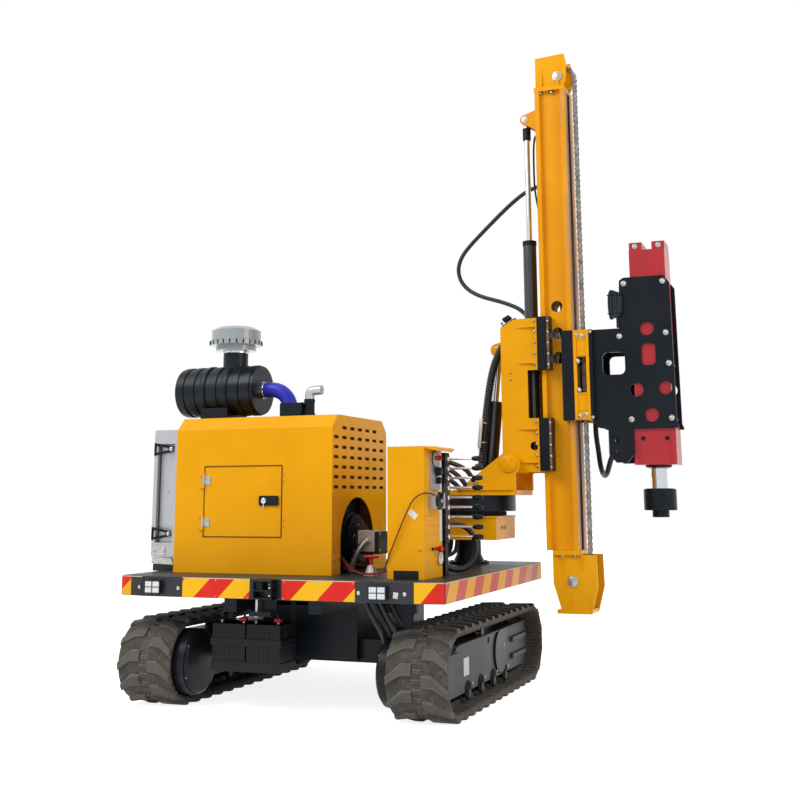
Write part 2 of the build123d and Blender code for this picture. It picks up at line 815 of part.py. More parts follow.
# Turret base: column on the deck, box on the column, fixed race on the box
with BuildPart(machine) as turret_base:
    with Locations((turret_x, turret_y, deck_top)):
        Cylinder(column_radius + 60, 20, align=(Align.CENTER, Align.CENTER, Align.MIN))
        Cylinder(column_radius, base_bottom - deck_top, align=(Align.CENTER, Align.CENTER, Align.MIN))
    with Locations((turret_x, turret_y, base_bottom)):
        Box(2 * base_reach, 2 * base_half, base_top - base_bottom,
            align=(Align.CENTER, Align.CENTER, Align.MIN))
turret_base.part.label = "turret_base"
export_step(turret_base.part, "parts/turret_base.step")

with BuildPart(machine) as lower_race:
    with Locations((turret_x, turret_y, base_top)):
        Cylinder(lower_race_radius, lower_race_height, align=(Align.CENTER, Align.CENTER, Align.MIN))
lower_race.part.label = "lower_race"
export_step(lower_race.part, "parts/lower_race.step")

# Turning race under the turntable
race_bottom = base_top + lower_race_height + guide_gap
with BuildPart(machine) as upper_race:
    with Locations((turret_x, turret_y, race_bottom)):
        Cylinder(race_radius, race_top - race_bottom, align=(Align.CENTER, Align.CENTER, Align.MIN))
upper_race.part.label = "upper_race"
export_step(upper_race.part, "parts/upper_race.step")

# Turret: turntable plate, two ears with the tilt pivot, two lugs for the cylinder's foot
table_top = race_top + turntable_thickness
ear_out = turntable_half
ear_in = ear_out - ear_thickness
pivot_depth = 60
lug_out = 62
lug_radius = 38
ear_front = turret_x + turntable_reach
with BuildPart(machine) as turret:
    with BuildSketch(machine.offset(race_top)):
        with Locations((turret_x, turret_y)):
            RectangleRounded(2 * turntable_reach, 2 * turntable_half, 40)
    extrude(amount=turntable_thickness)
    for ear_side in (-1, 1):
        with BuildSketch(across(turret_y + ear_side * (ear_out + ear_in) / 2)):
            with BuildLine():
                Polyline(
                    (turret_x, table_top),
                    (pivot_x - boss_radius * 0.72, pivot_z + boss_radius * 0.69),
                    (pivot_x, pivot_z),
                    (ear_front, pivot_z),
                    (ear_front, table_top),
                    close=True,
                )
            make_face()
            with Locations((pivot_x, pivot_z)):
                Circle(boss_radius)
        extrude(amount=ear_thickness / 2, both=True)
        with BuildSketch(across(turret_y + ear_side * ear_out)):
            with Locations((pivot_x, pivot_z)):
                Circle(pivot_radius)
        extrude(amount=ear_side * (pivot_depth + ear_thickness))
        with BuildSketch(across(turret_y + ear_side * (lug_out - cylinder_lug / 2))):
            with BuildLine():
                Polyline(
                    (foot_pin_x - lug_radius, table_top),
                    (foot_pin_x - lug_radius, foot_pin_z),
                    (foot_pin_x + lug_radius, foot_pin_z),
                    (foot_pin_x + 110, table_top),
                    close=True,
                )
            make_face()
            with Locations((foot_pin_x, foot_pin_z)):
                Circle(lug_radius)
        extrude(amount=cylinder_lug / 2, both=True)
    with BuildSketch(across(turret_y)):
        with Locations((foot_pin_x, foot_pin_z)):
            Circle(cylinder_pin)
    extrude(amount=lug_out, both=True)
turret.part.label = "turret"
export_step(turret.part, "parts/turret.step")

# Carrier: two side plates and a back plate, open to the mast
pivot_boss = 60
notch_low = carrier_bottom + 402
notch_high = carrier_top - 399
notch_back = carrier_front - 82
eye_lug_out = 62
gland_shelf = 110
mast_hose_foot = carrier_top - 105
back_plate = pivot_x + 42
back_bottom = pivot_z + 20
with BuildPart(machine) as carrier:
    for wall_side in (-1, 1):
        with BuildSketch(across(turret_y + wall_side * (carrier_half - carrier_wall / 2))):
            with BuildLine():
                Polyline(
                    (carrier_back, carrier_bottom),
                    (carrier_front, carrier_bottom),
                    (carrier_front, notch_low),
                    (notch_back, notch_low),
                    (notch_back, notch_high),
                    (carrier_front, notch_high),
                    (carrier_front, carrier_top),
                    (carrier_back + 110, carrier_top),
                    (carrier_back, carrier_top - 60),
                    close=True,
                )
            make_face()
            with Locations((carrier_back + 250, carrier_bottom + 194)):
                Circle(32, mode=Mode.SUBTRACT)
        extrude(amount=carrier_wall / 2, both=True)
        with BuildSketch(across(turret_y + wall_side * carrier_half)):
            with Locations((pivot_x, pivot_z)):
                Circle(boss_radius - 18)
        extrude(amount=-wall_side * (ear_in - carrier_half - free_gap))
        with BuildSketch(across(turret_y + wall_side * carrier_half)):
            with Locations((pivot_x, pivot_z)):
                Circle(boss_radius - 18)
        extrude(amount=wall_side * pivot_boss)
        with BuildSketch(across(turret_y + wall_side * ear_in)):
            with Locations((pivot_x, pivot_z)):
                Circle(pivot_radius + pin_gap)
        extrude(amount=wall_side * (pivot_depth + seat_gap), mode=Mode.SUBTRACT)
        for flange_bottom, flange_top in ((carrier_bottom, notch_low), (notch_high, carrier_top)):
            with Locations((carrier_front, turret_y + wall_side * (carrier_half + 15), flange_bottom)):
                Box(12, 80, flange_top - flange_bottom,
                    align=(Align.MAX, Align.MAX if wall_side > 0 else Align.MIN, Align.MIN))
        with BuildSketch(across(turret_y + wall_side * (eye_lug_out - cylinder_lug / 2))):
            with BuildLine():
                Polyline(
                    (back_plate, eye_pin_z - 60),
                    (eye_pin_x, eye_pin_z - 52),
                    (eye_pin_x, eye_pin_z + 52),
                    (back_plate, eye_pin_z + 100),
                    close=True,
                )
            make_face()
            with Locations((eye_pin_x, eye_pin_z)):
                Circle(52)
        extrude(amount=cylinder_lug / 2, both=True)
        with BuildSketch(across(turret_y + wall_side * eye_lug_out)):
            with Locations((eye_pin_x, eye_pin_z)):
                Circle(cylinder_pin)
        extrude(amount=-wall_side * 14)
    with Locations((back_plate, turret_y, back_bottom)):
        Box(carrier_wall, 2 * carrier_half - 2, carrier_top - 60 - back_bottom,
            align=(Align.MIN, Align.CENTER, Align.MIN))
    with Locations((back_plate, turret_y, lift_barrel_bottom)):
        Box(carrier_front - back_plate - 2, 2 * (carrier_half - pivot_boss), 20,
            align=(Align.MIN, Align.CENTER, Align.MAX))
    with Locations((back_plate, turret_y + carrier_half - 2, mast_hose_foot)):
        Box(gland_shelf, 90, 20, align=(Align.MIN, Align.MAX, Align.MAX))
carrier.part.label = "carrier"
export_step(carrier.part, "parts/carrier.step")

# Clamps: four grooved blocks on the carrier that hold the mast's back flange
clamp_out = carrier_half
groove_back = mast_back - guide_gap
groove_front = mast_back + flange_thickness + guide_gap
with BuildPart(machine) as clamps:
    for clamp_bottom, clamp_top in ((carrier_bottom + 7, notch_low), (notch_high, carrier_top + 10)):
        for clamp_side in (-1, 1):
            with BuildSketch(machine.offset(clamp_bottom)):
                with Locations((carrier_front, turret_y + clamp_side * clamp_out)):
                    Rectangle(clamp_depth, clamp_out - mast_half + clamp_lip,
                              align=(Align.MIN, Align.MAX if clamp_side > 0 else Align.MIN))
                with Locations((groove_back, turret_y + clamp_side * (mast_half + guide_gap))):
                    Rectangle(groove_front - groove_back, 2 * clamp_lip,
                              align=(Align.MIN, Align.MAX if clamp_side > 0 else Align.MIN),
                              mode=Mode.SUBTRACT)
            extrude(amount=clamp_top - clamp_bottom)
clamps.part.label = "mast_clamps"
export_step(clamps.part, "parts/mast_clamps.step")

# Tilt cylinder: barrel on the turret, rod on the carrier
tilt_dx = eye_pin_x - foot_pin_x
tilt_dz = eye_pin_z - foot_pin_z
tilt_reach = sqrt(tilt_dx ** 2 + tilt_dz ** 2)
tilt_axis = (tilt_dx / tilt_reach, 0, tilt_dz / tilt_reach)
tilt_foot = (mid_x + foot_pin_x, mid_y + turret_y, foot_pin_z)
tilt_line = Plane(origin=tilt_foot, x_dir=(0, 1, 0), z_dir=tilt_axis)
eye_half = lug_out - cylinder_lug - free_gap
eye_radius = 44
barrel_start = eye_radius + 6
barrel_end = barrel_start + tilt_barrel_length
barrel_wall = 12
gland_length = 60
with BuildPart() as tilt_barrel:
    with BuildSketch(tilt_line.offset(barrel_start)):
        Circle(tilt_barrel_radius)
    extrude(amount=tilt_barrel_length)
    with BuildSketch(tilt_line):
        Circle(eye_half)
    extrude(amount=barrel_start + 10)
    with BuildSketch(tilt_line.offset(barrel_start + 30)):
        Circle(tilt_barrel_radius - barrel_wall)
    extrude(amount=tilt_barrel_length - 30 - gland_length, mode=Mode.SUBTRACT)
    with BuildSketch(tilt_line.offset(barrel_start + 30)):
        Circle(tilt_rod_radius + pin_gap)
    extrude(amount=tilt_barrel_length, mode=Mode.SUBTRACT)
    with BuildSketch(across(turret_y)):
        with Locations((foot_pin_x, foot_pin_z)):
            Circle(eye_radius)
    extrude(amount=eye_half, both=True)
    with BuildSketch(across(turret_y)):
        with Locations((foot_pin_x, foot_pin_z)):
            Circle(cylinder_pin + pin_gap)
    extrude(amount=eye_half, both=True, mode=Mode.SUBTRACT)
    with Locations(tilt_line * Location((-sleeve_side, sleeve_offset, barrel_start + 10))):
        Box(2 * (sleeve_side - tilt_barrel_radius + 12), 2 * sleeve_radius, sleeve_clamp,
            align=(Align.CENTER, Align.CENTER, Align.MIN))
tilt_barrel.part.label = "tilt_barrel"
export_step(tilt_barrel.part, "parts/tilt_barrel.step")

rod_inside = 172
with BuildPart() as tilt_rod:
    with BuildSketch(tilt_line.offset(barrel_end - rod_inside)):
        Circle(tilt_rod_radius)
    extrude(amount=tilt_reach - eye_radius + 6 - barrel_end + rod_inside)
    with BuildSketch(across(turret_y)):
        with Locations((eye_pin_x, eye_pin_z)):
            Circle(eye_radius + 4)
    extrude(amount=eye_half, both=True)
tilt_rod.part.label = "tilt_rod"
export_step(tilt_rod.part, "parts/tilt_rod.step")

# Lift cylinder: barrel stands in the carrier, rod goes up to the mast
with BuildPart(machine) as lift_barrel:
    with Locations((lift_x, turret_y, lift_barrel_bottom)):
        Cylinder(lift_barrel_radius, lift_barrel_top - lift_barrel_bottom,
                 align=(Align.CENTER, Align.CENTER, Align.MIN))
    with Locations((lift_x, turret_y, lift_barrel_bottom + 30)):
        Cylinder(lift_barrel_radius - barrel_wall, lift_barrel_top - lift_barrel_bottom - 30 - gland_length,
                 align=(Align.CENTER, Align.CENTER, Align.MIN), mode=Mode.SUBTRACT)
        Cylinder(lift_rod_radius + pin_gap, lift_barrel_top - lift_barrel_bottom,
                 align=(Align.CENTER, Align.CENTER, Align.MIN), mode=Mode.SUBTRACT)
lift_barrel.part.label = "lift_barrel"
export_step(lift_barrel.part, "parts/lift_barrel.step")

lift_rod_bottom = carrier_top + 15
lift_eye_half = 24
with BuildPart(machine) as lift_rod:
    with Locations((lift_x, turret_y, lift_rod_bottom)):
        Cylinder(lift_rod_radius, lift_pin_z - 30 - lift_rod_bottom,
                 align=(Align.CENTER, Align.CENTER, Align.MIN))
    with BuildSketch(across(turret_y)):
        with Locations((lift_x, lift_pin_z)):
            Circle(38)
            Circle(cylinder_pin + pin_gap, mode=Mode.SUBTRACT)
    extrude(amount=lift_eye_half, both=True)
lift_rod.part.label = "lift_rod"
export_step(lift_rod.part, "parts/lift_rod.step")

# Mast: back flange, two webs and two front strips with a slot between them
mast_front = mast_back + mast_depth
web_back = mast_back + flange_thickness - 1
web_front = mast_front - flange_thickness + 1
end_plate = 33
with BuildPart(machine) as mast:
    with BuildSketch(machine.offset(mast_bottom)):
        with Locations((mast_back, turret_y)):
            Rectangle(flange_thickness, 2 * mast_half, align=(Align.MIN, Align.CENTER))
        for web_side in (-1, 1):
            with Locations(((web_back + web_front) / 2, turret_y + web_side * (web_out - web_thickness / 2))):
                Rectangle(web_front - web_back, web_thickness)
            with Locations((mast_front, turret_y + web_side * mast_half)):
                Rectangle(flange_thickness, mast_half - mast_slot / 2,
                          align=(Align.MAX, Align.MAX if web_side > 0 else Align.MIN))
    extrude(amount=mast_top - mast_bottom)
    for hole_rise, hole_radius in ((1434, 48), (1624, 46), (1834, 44)):
        with BuildSketch(across(turret_y)):
            with Locations((mast_back + mast_depth / 2, mast_bottom + hole_rise)):
                Circle(hole_radius)
        extrude(amount=mast_half, both=True, mode=Mode.SUBTRACT)
    for lug_side in (-1, 1):
        with BuildSketch(across(turret_y + lug_side * (lift_eye_half + free_gap + cylinder_lug / 2))):
            with BuildLine():
                Polyline(
                    (mast_back, lift_pin_z - 110),
                    (lift_x, lift_pin_z - 42),
                    (lift_x, lift_pin_z + 42),
                    (mast_back, lift_pin_z + 80),
                    close=True,
                )
            make_face()
            with Locations((lift_x, lift_pin_z)):
                Circle(42)
        extrude(amount=cylinder_lug / 2, both=True)
    with BuildSketch(across(turret_y)):
        with Locations((lift_x, lift_pin_z)):
            Circle(cylinder_pin)
    extrude(amount=lift_eye_half + free_gap + 1, both=True)
mast.part.label = "mast"
export_step(mast.part, "parts/mast.step")

# Mast head: two side plates with the upper chain wheel between them
axle_x = chain_x - chain_wheel_radius
axle_radius = 30
head_plate = 15
head_out = 125
head_top = head_axle_z + 186
wheel_width = 24
wheel_half = head_out - head_plate
with BuildPart(machine) as mast_head:
    with Locations((mast_back - 5, turret_y, mast_top)):
        Box(mast_depth + 5, 2 * mast_half, end_plate, align=(Align.MIN, Align.CENTER, Align.MIN))
        Box(chain_x - mast_back - 60, mast_slot, end_plate,
            align=(Align.MIN, Align.CENTER, Align.MIN), mode=Mode.SUBTRACT)
    for plate_side in (-1, 1):
        with BuildSketch(across(turret_y + plate_side * (head_out - head_plate / 2))):
            with BuildLine():
                Polyline(
                    (mast_back + 5, mast_top),
                    (mast_back + 5, head_top - 15),
                    (mast_front, head_top),
                    (mast_front + 15, head_top - 60),
                    (mast_front + 15, head_axle_z),
                    (mast_front - 20, mast_top),
                    close=True,
                )
            make_face()
        extrude(amount=head_plate / 2, both=True)
    with BuildSketch(across(turret_y)):
        with Locations((axle_x, head_axle_z)):
            Circle(axle_radius)
    extrude(amount=head_out + 12, both=True)
    with Locations((mast_back + 5, turret_y, mast_top)):
        Box(12, 2 * head_out - head_plate, head_top - 15 - mast_top,
            align=(Align.MIN, Align.CENTER, Align.MIN))
    with BuildSketch(across(turret_y)):
        with Locations((axle_x, head_axle_z)):
            Circle(chain_wheel_radius - chain_thickness / 2 - seat_gap)
    extrude(amount=wheel_width / 2, both=True)
    with BuildSketch(across(turret_y)):
        with Locations((axle_x, head_axle_z)):
            Circle(axle_radius + 22)
    extrude(amount=wheel_half - 10, both=True)
mast_head.part.label = "mast_head"
export_step(mast_head.part, "parts/mast_head.step")

# Mast foot: tapered side plates, sole plate and the lower chain wheel
foot_bottom = foot_axle_z - 230
foot_out = 130
sole_thickness = 28
foot_left = mast_back + 39
foot_right = foot_left + 330
with BuildPart(machine) as mast_foot:
    with Locations((foot_left + 5, turret_y, mast_bottom)):
        Box(mast_front - foot_left + 5, 2 * mast_half, end_plate, align=(Align.MIN, Align.CENTER, Align.MAX))
        Box(mast_front - foot_left - 20, mast_slot, end_plate,
            align=(Align.MIN, Align.CENTER, Align.MAX), mode=Mode.SUBTRACT)
    for plate_side in (-1, 1):
        with BuildSketch(across(turret_y + plate_side * (foot_out - head_plate / 2))):
            with BuildLine():
                Polyline(
                    (foot_left, mast_bottom - end_plate),
                    (foot_left, foot_axle_z - 15),
                    (foot_left + 63, foot_bottom),
                    (foot_right - 50, foot_bottom),
                    (foot_right, foot_axle_z - 45),
                    (foot_right - 5, mast_bottom - end_plate),
                    close=True,
                )
            make_face()
        extrude(amount=head_plate / 2, both=True)
    with Locations((foot_left + 25, turret_y, foot_bottom)):
        Box(foot_right - foot_left - 77, 2 * foot_out + 20, sole_thickness,
            align=(Align.MIN, Align.CENTER, Align.MIN))
    with BuildSketch(across(turret_y)):
        with Locations((axle_x, foot_axle_z)):
            Circle(axle_radius)
    extrude(amount=foot_out + 12, both=True)
    with BuildSketch(across(turret_y)):
        with Locations((axle_x, foot_axle_z)):
            Circle(chain_wheel_radius - chain_thickness / 2 - seat_gap)
    extrude(amount=wheel_width / 2, both=True)
    with BuildSketch(across(turret_y)):
        with Locations((axle_x, foot_axle_z)):
            Circle(axle_radius + 22)
    extrude(amount=wheel_half - 10, both=True)
mast_foot.part.label = "mast_foot"
export_step(mast_foot.part, "parts/mast_foot.step")

# Chain: one fixed loop round both chain wheels
chain_mid_z = (head_axle_z + foot_axle_z) / 2
chain_run = head_axle_z - foot_axle_z
with BuildPart(machine) as chain:
    with BuildSketch(across(turret_y)):
        with Locations((axle_x, chain_mid_z)):
            SlotOverall(chain_run + 2 * chain_wheel_radius + chain_thickness,
                        2 * chain_wheel_radius + chain_thickness, rotation=90)
            SlotOverall(chain_run + 2 * chain_wheel_radius - chain_thickness,
                        2 * chain_wheel_radius - chain_thickness, rotation=90, mode=Mode.SUBTRACT)
    extrude(amount=chain_width / 2, both=True)
chain.part.label = "chain"
export_step(chain.part, "parts/chain.step")

# Sledge: channel that runs up and down the front of the mast, over the chain, with a
# shelf for the hammer's hose on its far side
hose_shelf = 120
sledge_top = sledge_bottom + sledge_height
with BuildPart(machine) as sledge:
    with Locations((sledge_front, turret_y, sledge_bottom)):
        Box(sledge_front - sledge_back, 2 * sledge_half, sledge_height,
            align=(Align.MAX, Align.CENTER, Align.MIN))
    with Locations((sledge_front - sledge_wall - 4, turret_y, sledge_bottom)):
        Box(sledge_front - sledge_back, 2 * (sledge_half - sledge_wall), sledge_height,
            align=(Align.MAX, Align.CENTER, Align.MIN), mode=Mode.SUBTRACT)
    with BuildSketch(across(turret_y)):
        with Locations(((sledge_back + sledge_front) / 2, sledge_bottom + sledge_height / 2)):
            Rectangle(70, 270)
    extrude(amount=sledge_half, both=True, mode=Mode.SUBTRACT)
    with Locations((sledge_back + 60, turret_y + sledge_half, sledge_bottom)):
        Box(80, hose_shelf, 12, align=(Align.CENTER, Align.MIN, Align.MIN))
sledge.part.label = "sledge"
export_step(sledge.part, "parts/sledge.step")

# Sledge guides: grooved blocks that grip the mast's front strips
strip_back = mast_front - flange_thickness - guide_gap
strip_front = mast_front + guide_gap
guide_depth = 90
with BuildPart(machine) as guides:
    for guide_side in (-1, 1):
        with BuildSketch(machine.offset(sledge_bottom)):
            with Locations((sledge_back, turret_y + guide_side * sledge_half)):
                Rectangle(guide_depth, sledge_half - mast_half + clamp_lip,
                          align=(Align.MAX, Align.MAX if guide_side > 0 else Align.MIN))
            with Locations((strip_back, turret_y + guide_side * (mast_half + guide_gap))):
                Rectangle(strip_front - strip_back, 2 * clamp_lip,
                          align=(Align.MIN, Align.MAX if guide_side > 0 else Align.MIN), mode=Mode.SUBTRACT)
        extrude(amount=sledge_height)
guides.part.label = "sledge_guides"
export_step(guides.part, "parts/sledge_guides.step")

# Hammer housing: two windowed side plates on an end frame, with tie tubes
end_frame = 25
plate_mid = housing_half - housing_plate / 2
neck = sledge_front + 225
shoulder = sledge_front + 270
housing_right = sledge_front + housing_reach
lug_left = sledge_front + 117
lug_right = sledge_front + 304
lug_x = sledge_front + 180
lug_hole = 17
round_windows = (
    (breaker_x - 22, sledge_bottom + 668, 52),
    (breaker_x + 96, sledge_bottom + 223, 50),
    (breaker_x - 113, sledge_bottom + 215, 50),
    (breaker_x - 11, sledge_bottom + 27, 52),
    (lug_x, housing_lug + 162, lug_hole),
    (lug_x, housing_lug + 73, lug_hole),
)
with BuildPart(machine) as housing:
    for plate_side in (-1, 1):
        with BuildSketch(across(turret_y + plate_side * plate_mid)):
            with BuildLine():
                Polyline(
                    (sledge_front, sledge_bottom),
                    (sledge_front, sledge_top),
                    (neck, sledge_top),
                    (neck + 14, housing_top - 22),
                    (shoulder, housing_top),
                    (housing_right - 62, housing_top),
                    (housing_right - 20, housing_top - 57),
                    (housing_right - 12, sledge_bottom - 29),
                    (housing_right, housing_foot + 14),
                    (housing_right, housing_foot),
                    (lug_right, housing_foot),
                    (lug_right, housing_lug + 60),
                    (lug_right - 54, housing_lug),
                    (lug_left + 53, housing_lug),
                    (lug_left, housing_lug + 60),
                    (lug_left, housing_foot),
                    (sledge_front + 45, housing_foot + 14),
                    close=True,
                )
            make_face()
            with Locations((sledge_front + 176, sledge_bottom + 417)):
                RectangleRounded(168, 168, 40, mode=Mode.SUBTRACT)
            with Locations((breaker_x - 17, sledge_bottom + 476)):
                RectangleRounded(104, 163, 30, mode=Mode.SUBTRACT)
            for hole_x, hole_z, hole_radius in round_windows:
                with Locations((hole_x, hole_z)):
                    Circle(hole_radius, mode=Mode.SUBTRACT)
        extrude(amount=housing_plate / 2, both=True)
    with Locations((sledge_front, turret_y, sledge_bottom)):
        Box(end_frame, 2 * sledge_half, sledge_height, align=(Align.MIN, Align.CENTER, Align.MIN))
housing.part.label = "hammer_housing"
export_step(housing.part, "parts/hammer_housing.step")

# Breaker between the housing plates: body, wider nose and two ears on top
breaker_half = housing_half - housing_plate
nose_width = 306
nose_top = breaker_bottom + 277
ear_height = 62
with BuildPart(machine) as breaker:
    with Locations((breaker_x, turret_y, nose_top)):
        Box(breaker_width, 2 * breaker_half, breaker_top - nose_top,
            align=(Align.CENTER, Align.CENTER, Align.MIN))
    with Locations((breaker_x, turret_y, breaker_bottom)):
        Box(nose_width, 2 * breaker_half, nose_top - breaker_bottom,
            align=(Align.CENTER, Align.CENTER, Align.MIN))
    for ear_side in (-1, 1):
        with Locations((breaker_x + ear_side * (breaker_width / 2 - 48), turret_y, breaker_top)):
            Box(96, 2 * breaker_half - 40, ear_height, align=(Align.CENTER, Align.CENTER, Align.MIN))
breaker.part.label = "breaker"
export_step(breaker.part, "parts/breaker.step")

# Shank under the breaker
cap_top = cap_bottom + cap_height
with BuildPart(machine) as shank:
    with Locations((breaker_x, turret_y, cap_top)):
        Cylinder(shank_radius, breaker_bottom - cap_top, align=(Align.CENTER, Align.CENTER, Align.MIN))
shank.part.label = "shank"
export_step(shank.part, "parts/shank.step")

# Pile cap: a heavy disc with a spigot for the pile's tube
with BuildPart(machine) as pile_cap:
    with Locations((breaker_x, turret_y, cap_bottom)):
        Cylinder(cap_radius, cap_height, align=(Align.CENTER, Align.CENTER, Align.MIN))
        Cylinder(spigot_radius, spigot_length, align=(Align.CENTER, Align.CENTER, Align.MAX))
pile_cap.part.label = "pile_cap"
export_step(pile_cap.part, "parts/pile_cap.step")

# Free hoses. A route's corners are rounded as widely as their runs leave room for
def hose(name, route, radius):
    """Tube of this radius along the route, whose bend radii are printed."""
    steps = [Vector(*b) - Vector(*a) for a, b in zip(route, route[1:])]
    radii = []
    for before, after in zip(steps, steps[1:]):
        half_turn = radians(before.get_angle(after)) / 2
        radii.append(0.45 * min(before.length, after.length) / tan(half_turn))
    print(name, "radius", radius, "bends", [round(r) for r in radii])
    with BuildPart() as tube:
        with BuildLine(machine) as path:
            FilletPolyline(*route, radius=radii)
        with BuildSketch(Plane(origin=path.line @ 0, z_dir=path.line % 0)):
            Circle(radius)
        sweep()
    tube.part.label = name
    export_step(tube.part, f"parts/{name}.step")


# Mast hose: from its shelf in the carrier out in a wide loop and up to the mast's back
mast_hose_route = [
    (1200, 2080, mast_hose_foot),
    (1200, 2080, 2685),
    (1172, 2089, 2768),
    (1110, 2104, 2836),
    (1020, 2128, 2884),
    (900, 2163, 2932),
    (765, 2203, 2976),
    (640, 2235, 3040),
    (556, 2250, 3130),
    (530, 2254, 3240),
    (566, 2253, 3345),
    (650, 2248, 3440),
    (774, 2230, 3545),
    (920, 2192, 3658),
    (1070, 2144, 3760),
    (1210, 2096, 3828),
    (mast_back - free_gap - 1, 2070, 3850),
]
hose("mast_hose", mast_hose_route, mast_hose_radius)

# Deck hose: a limp corrugated hose from the lever valve to the valve's foot
deck_hose_route = [
    (905, lever_y + valve_depth / 2, 1165),
    (905, 703, 1165),
    (919, 765, 1170),
    (951, 822, 1174),
    (988, 875, 1168),
    (1022, 923, 1140),
    (1047, 958, 1090),
    (1058, 970, 1027),
    (1053, 958, 962),
    (1033, 925, 910),
    (1005, 876, 880),
    (976, 816, 875),
    (949, 752, 885),
    (933, 686, 905),
    (933, lever_y + pedestal_depth / 2, 905),
]
hose("deck_hose", deck_hose_route, deck_hose_radius)

# Hammer hose: limp, from the breaker's nose between the lugs and round the mast to the sledge's shelf
hammer_hose_route = [
    (breaker_x - nose_width / 2, 1950, 1745),
    (1959, 1950, 1745),
    (1871, 1952, 1704),
    (1834, 1958, 1663),
    (1810, 1970, 1615),
    (1792, 1996, 1570),
    (1773, 2034, 1535),
    (1752, 2080, 1515),
    (1731, 2131, 1513),
    (1709, 2178, 1532),
    (1691, 2213, 1570),
    (1679, 2233, 1619),
    (1673, 2239, 1673),
    (1668, 2234, 1730),
    (1663, 2221, 1786),
    (1660, 2210, 1851),
    (sledge_back + 60, 2210, sledge_bottom),
]
hose("hammer_hose", hammer_hose_route, hammer_hose_radius)

# Sleeve with the tilt cylinder's hoses: from its block on the barrel up to the carrier's back
sleeve_y = turret_y - sleeve_side
sleeve_start = barrel_start + 10 + sleeve_clamp


def beside_barrel(way):
    """Point on the sleeve's line beside the tilt barrel, this far from the barrel's pin."""
    return (foot_pin_x + way * tilt_axis[0] - sleeve_offset * tilt_axis[2], sleeve_y,
            foot_pin_z + way * tilt_axis[2] + sleeve_offset * tilt_axis[0])


tilt_hose_route = [
    beside_barrel(sleeve_start),
    beside_barrel(sleeve_start + 86),
    (866, sleeve_y, 1845),
    (887, sleeve_y, 2010),
    (908, sleeve_y, 2150),
    (929, sleeve_y, 2265),
    (954, sleeve_y, 2358),
    (987, sleeve_y, 2440),
    (1030, sleeve_y, 2512),
    (1078, sleeve_y, 2568),
]
hose("tilt_hose", tilt_hose_route, sleeve_radius)
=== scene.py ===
"""Looks of a crawler pile driver rig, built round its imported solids. Places are the machine's own
millimetres: X from its centre line, Y from the deck's rear edge, Z from the ground."""

from math import cos, pi, radians, sin

import bmesh
import bpy
from mathutils import Matrix, Vector


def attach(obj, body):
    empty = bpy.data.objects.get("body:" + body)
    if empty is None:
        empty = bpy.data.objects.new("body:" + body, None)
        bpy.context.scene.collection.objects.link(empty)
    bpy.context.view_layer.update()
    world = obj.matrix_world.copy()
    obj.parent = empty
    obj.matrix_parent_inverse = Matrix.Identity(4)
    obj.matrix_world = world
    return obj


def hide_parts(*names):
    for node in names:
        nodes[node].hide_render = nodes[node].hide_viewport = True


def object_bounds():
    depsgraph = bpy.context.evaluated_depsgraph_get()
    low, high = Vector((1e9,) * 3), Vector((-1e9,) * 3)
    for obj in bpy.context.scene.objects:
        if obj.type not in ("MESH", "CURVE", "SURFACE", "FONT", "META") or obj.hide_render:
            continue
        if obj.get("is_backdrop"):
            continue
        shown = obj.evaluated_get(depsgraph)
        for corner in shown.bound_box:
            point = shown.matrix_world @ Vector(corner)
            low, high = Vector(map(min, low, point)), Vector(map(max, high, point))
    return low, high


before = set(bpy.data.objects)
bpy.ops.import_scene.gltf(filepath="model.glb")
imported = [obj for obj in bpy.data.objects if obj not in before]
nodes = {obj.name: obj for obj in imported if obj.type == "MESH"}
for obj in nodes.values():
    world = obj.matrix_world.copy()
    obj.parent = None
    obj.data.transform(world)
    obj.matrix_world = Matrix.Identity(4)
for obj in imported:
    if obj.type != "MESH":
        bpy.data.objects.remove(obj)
cad_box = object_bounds()


# Studio floor: a wide pale sheet just under the tracks. It glows for the camera, so that it runs into the
# white room and keeps only a soft shadow of the machine.
floor_reach, floor_drop, floor_white, floor_glow = 40, 0.0005, 0.82, 0.84
# The frame's origin, in the machine's own millimetres.
origin_x, origin_y = 578, 1167


def place(x, y, z):
    """A point of the machine, in millimetres, as metres in the frame."""
    return Vector(((x - origin_x) / 1000, (y - origin_y) / 1000, z / 1000))


def node(tree, kind, sockets=None, **settings):
    """A shader node with its settings, and each named socket given a value or joined to another."""
    made = tree.nodes.new("ShaderNode" + kind)
    for key, value in settings.items():
        setattr(made, key, value)
    for key, value in (sockets or {}).items():
        if isinstance(value, bpy.types.NodeSocket):
            tree.links.new(value, made.inputs[key])
        else:
            made.inputs[key].default_value = value
    return made


def sum_of(tree, first, second, operation="ADD"):
    """One number from two, each a value or a socket."""
    return node(tree, "Math", {0: first, 1: second}, operation=operation).outputs[0]


def blank_tree(owner):
    """The shader tree of a material or a world, emptied."""
    owner.use_nodes = True
    owner.node_tree.nodes.clear()
    return owner.node_tree


def seen_white(tree):
    """1 for rays that come from the camera, a gloss or a glass, else 0."""
    path = node(tree, "LightPath").outputs
    gloss = sum_of(tree, path["Is Glossy Ray"], path["Is Transmission Ray"], "MAXIMUM")
    return sum_of(tree, path["Is Camera Ray"], gloss, "MAXIMUM")


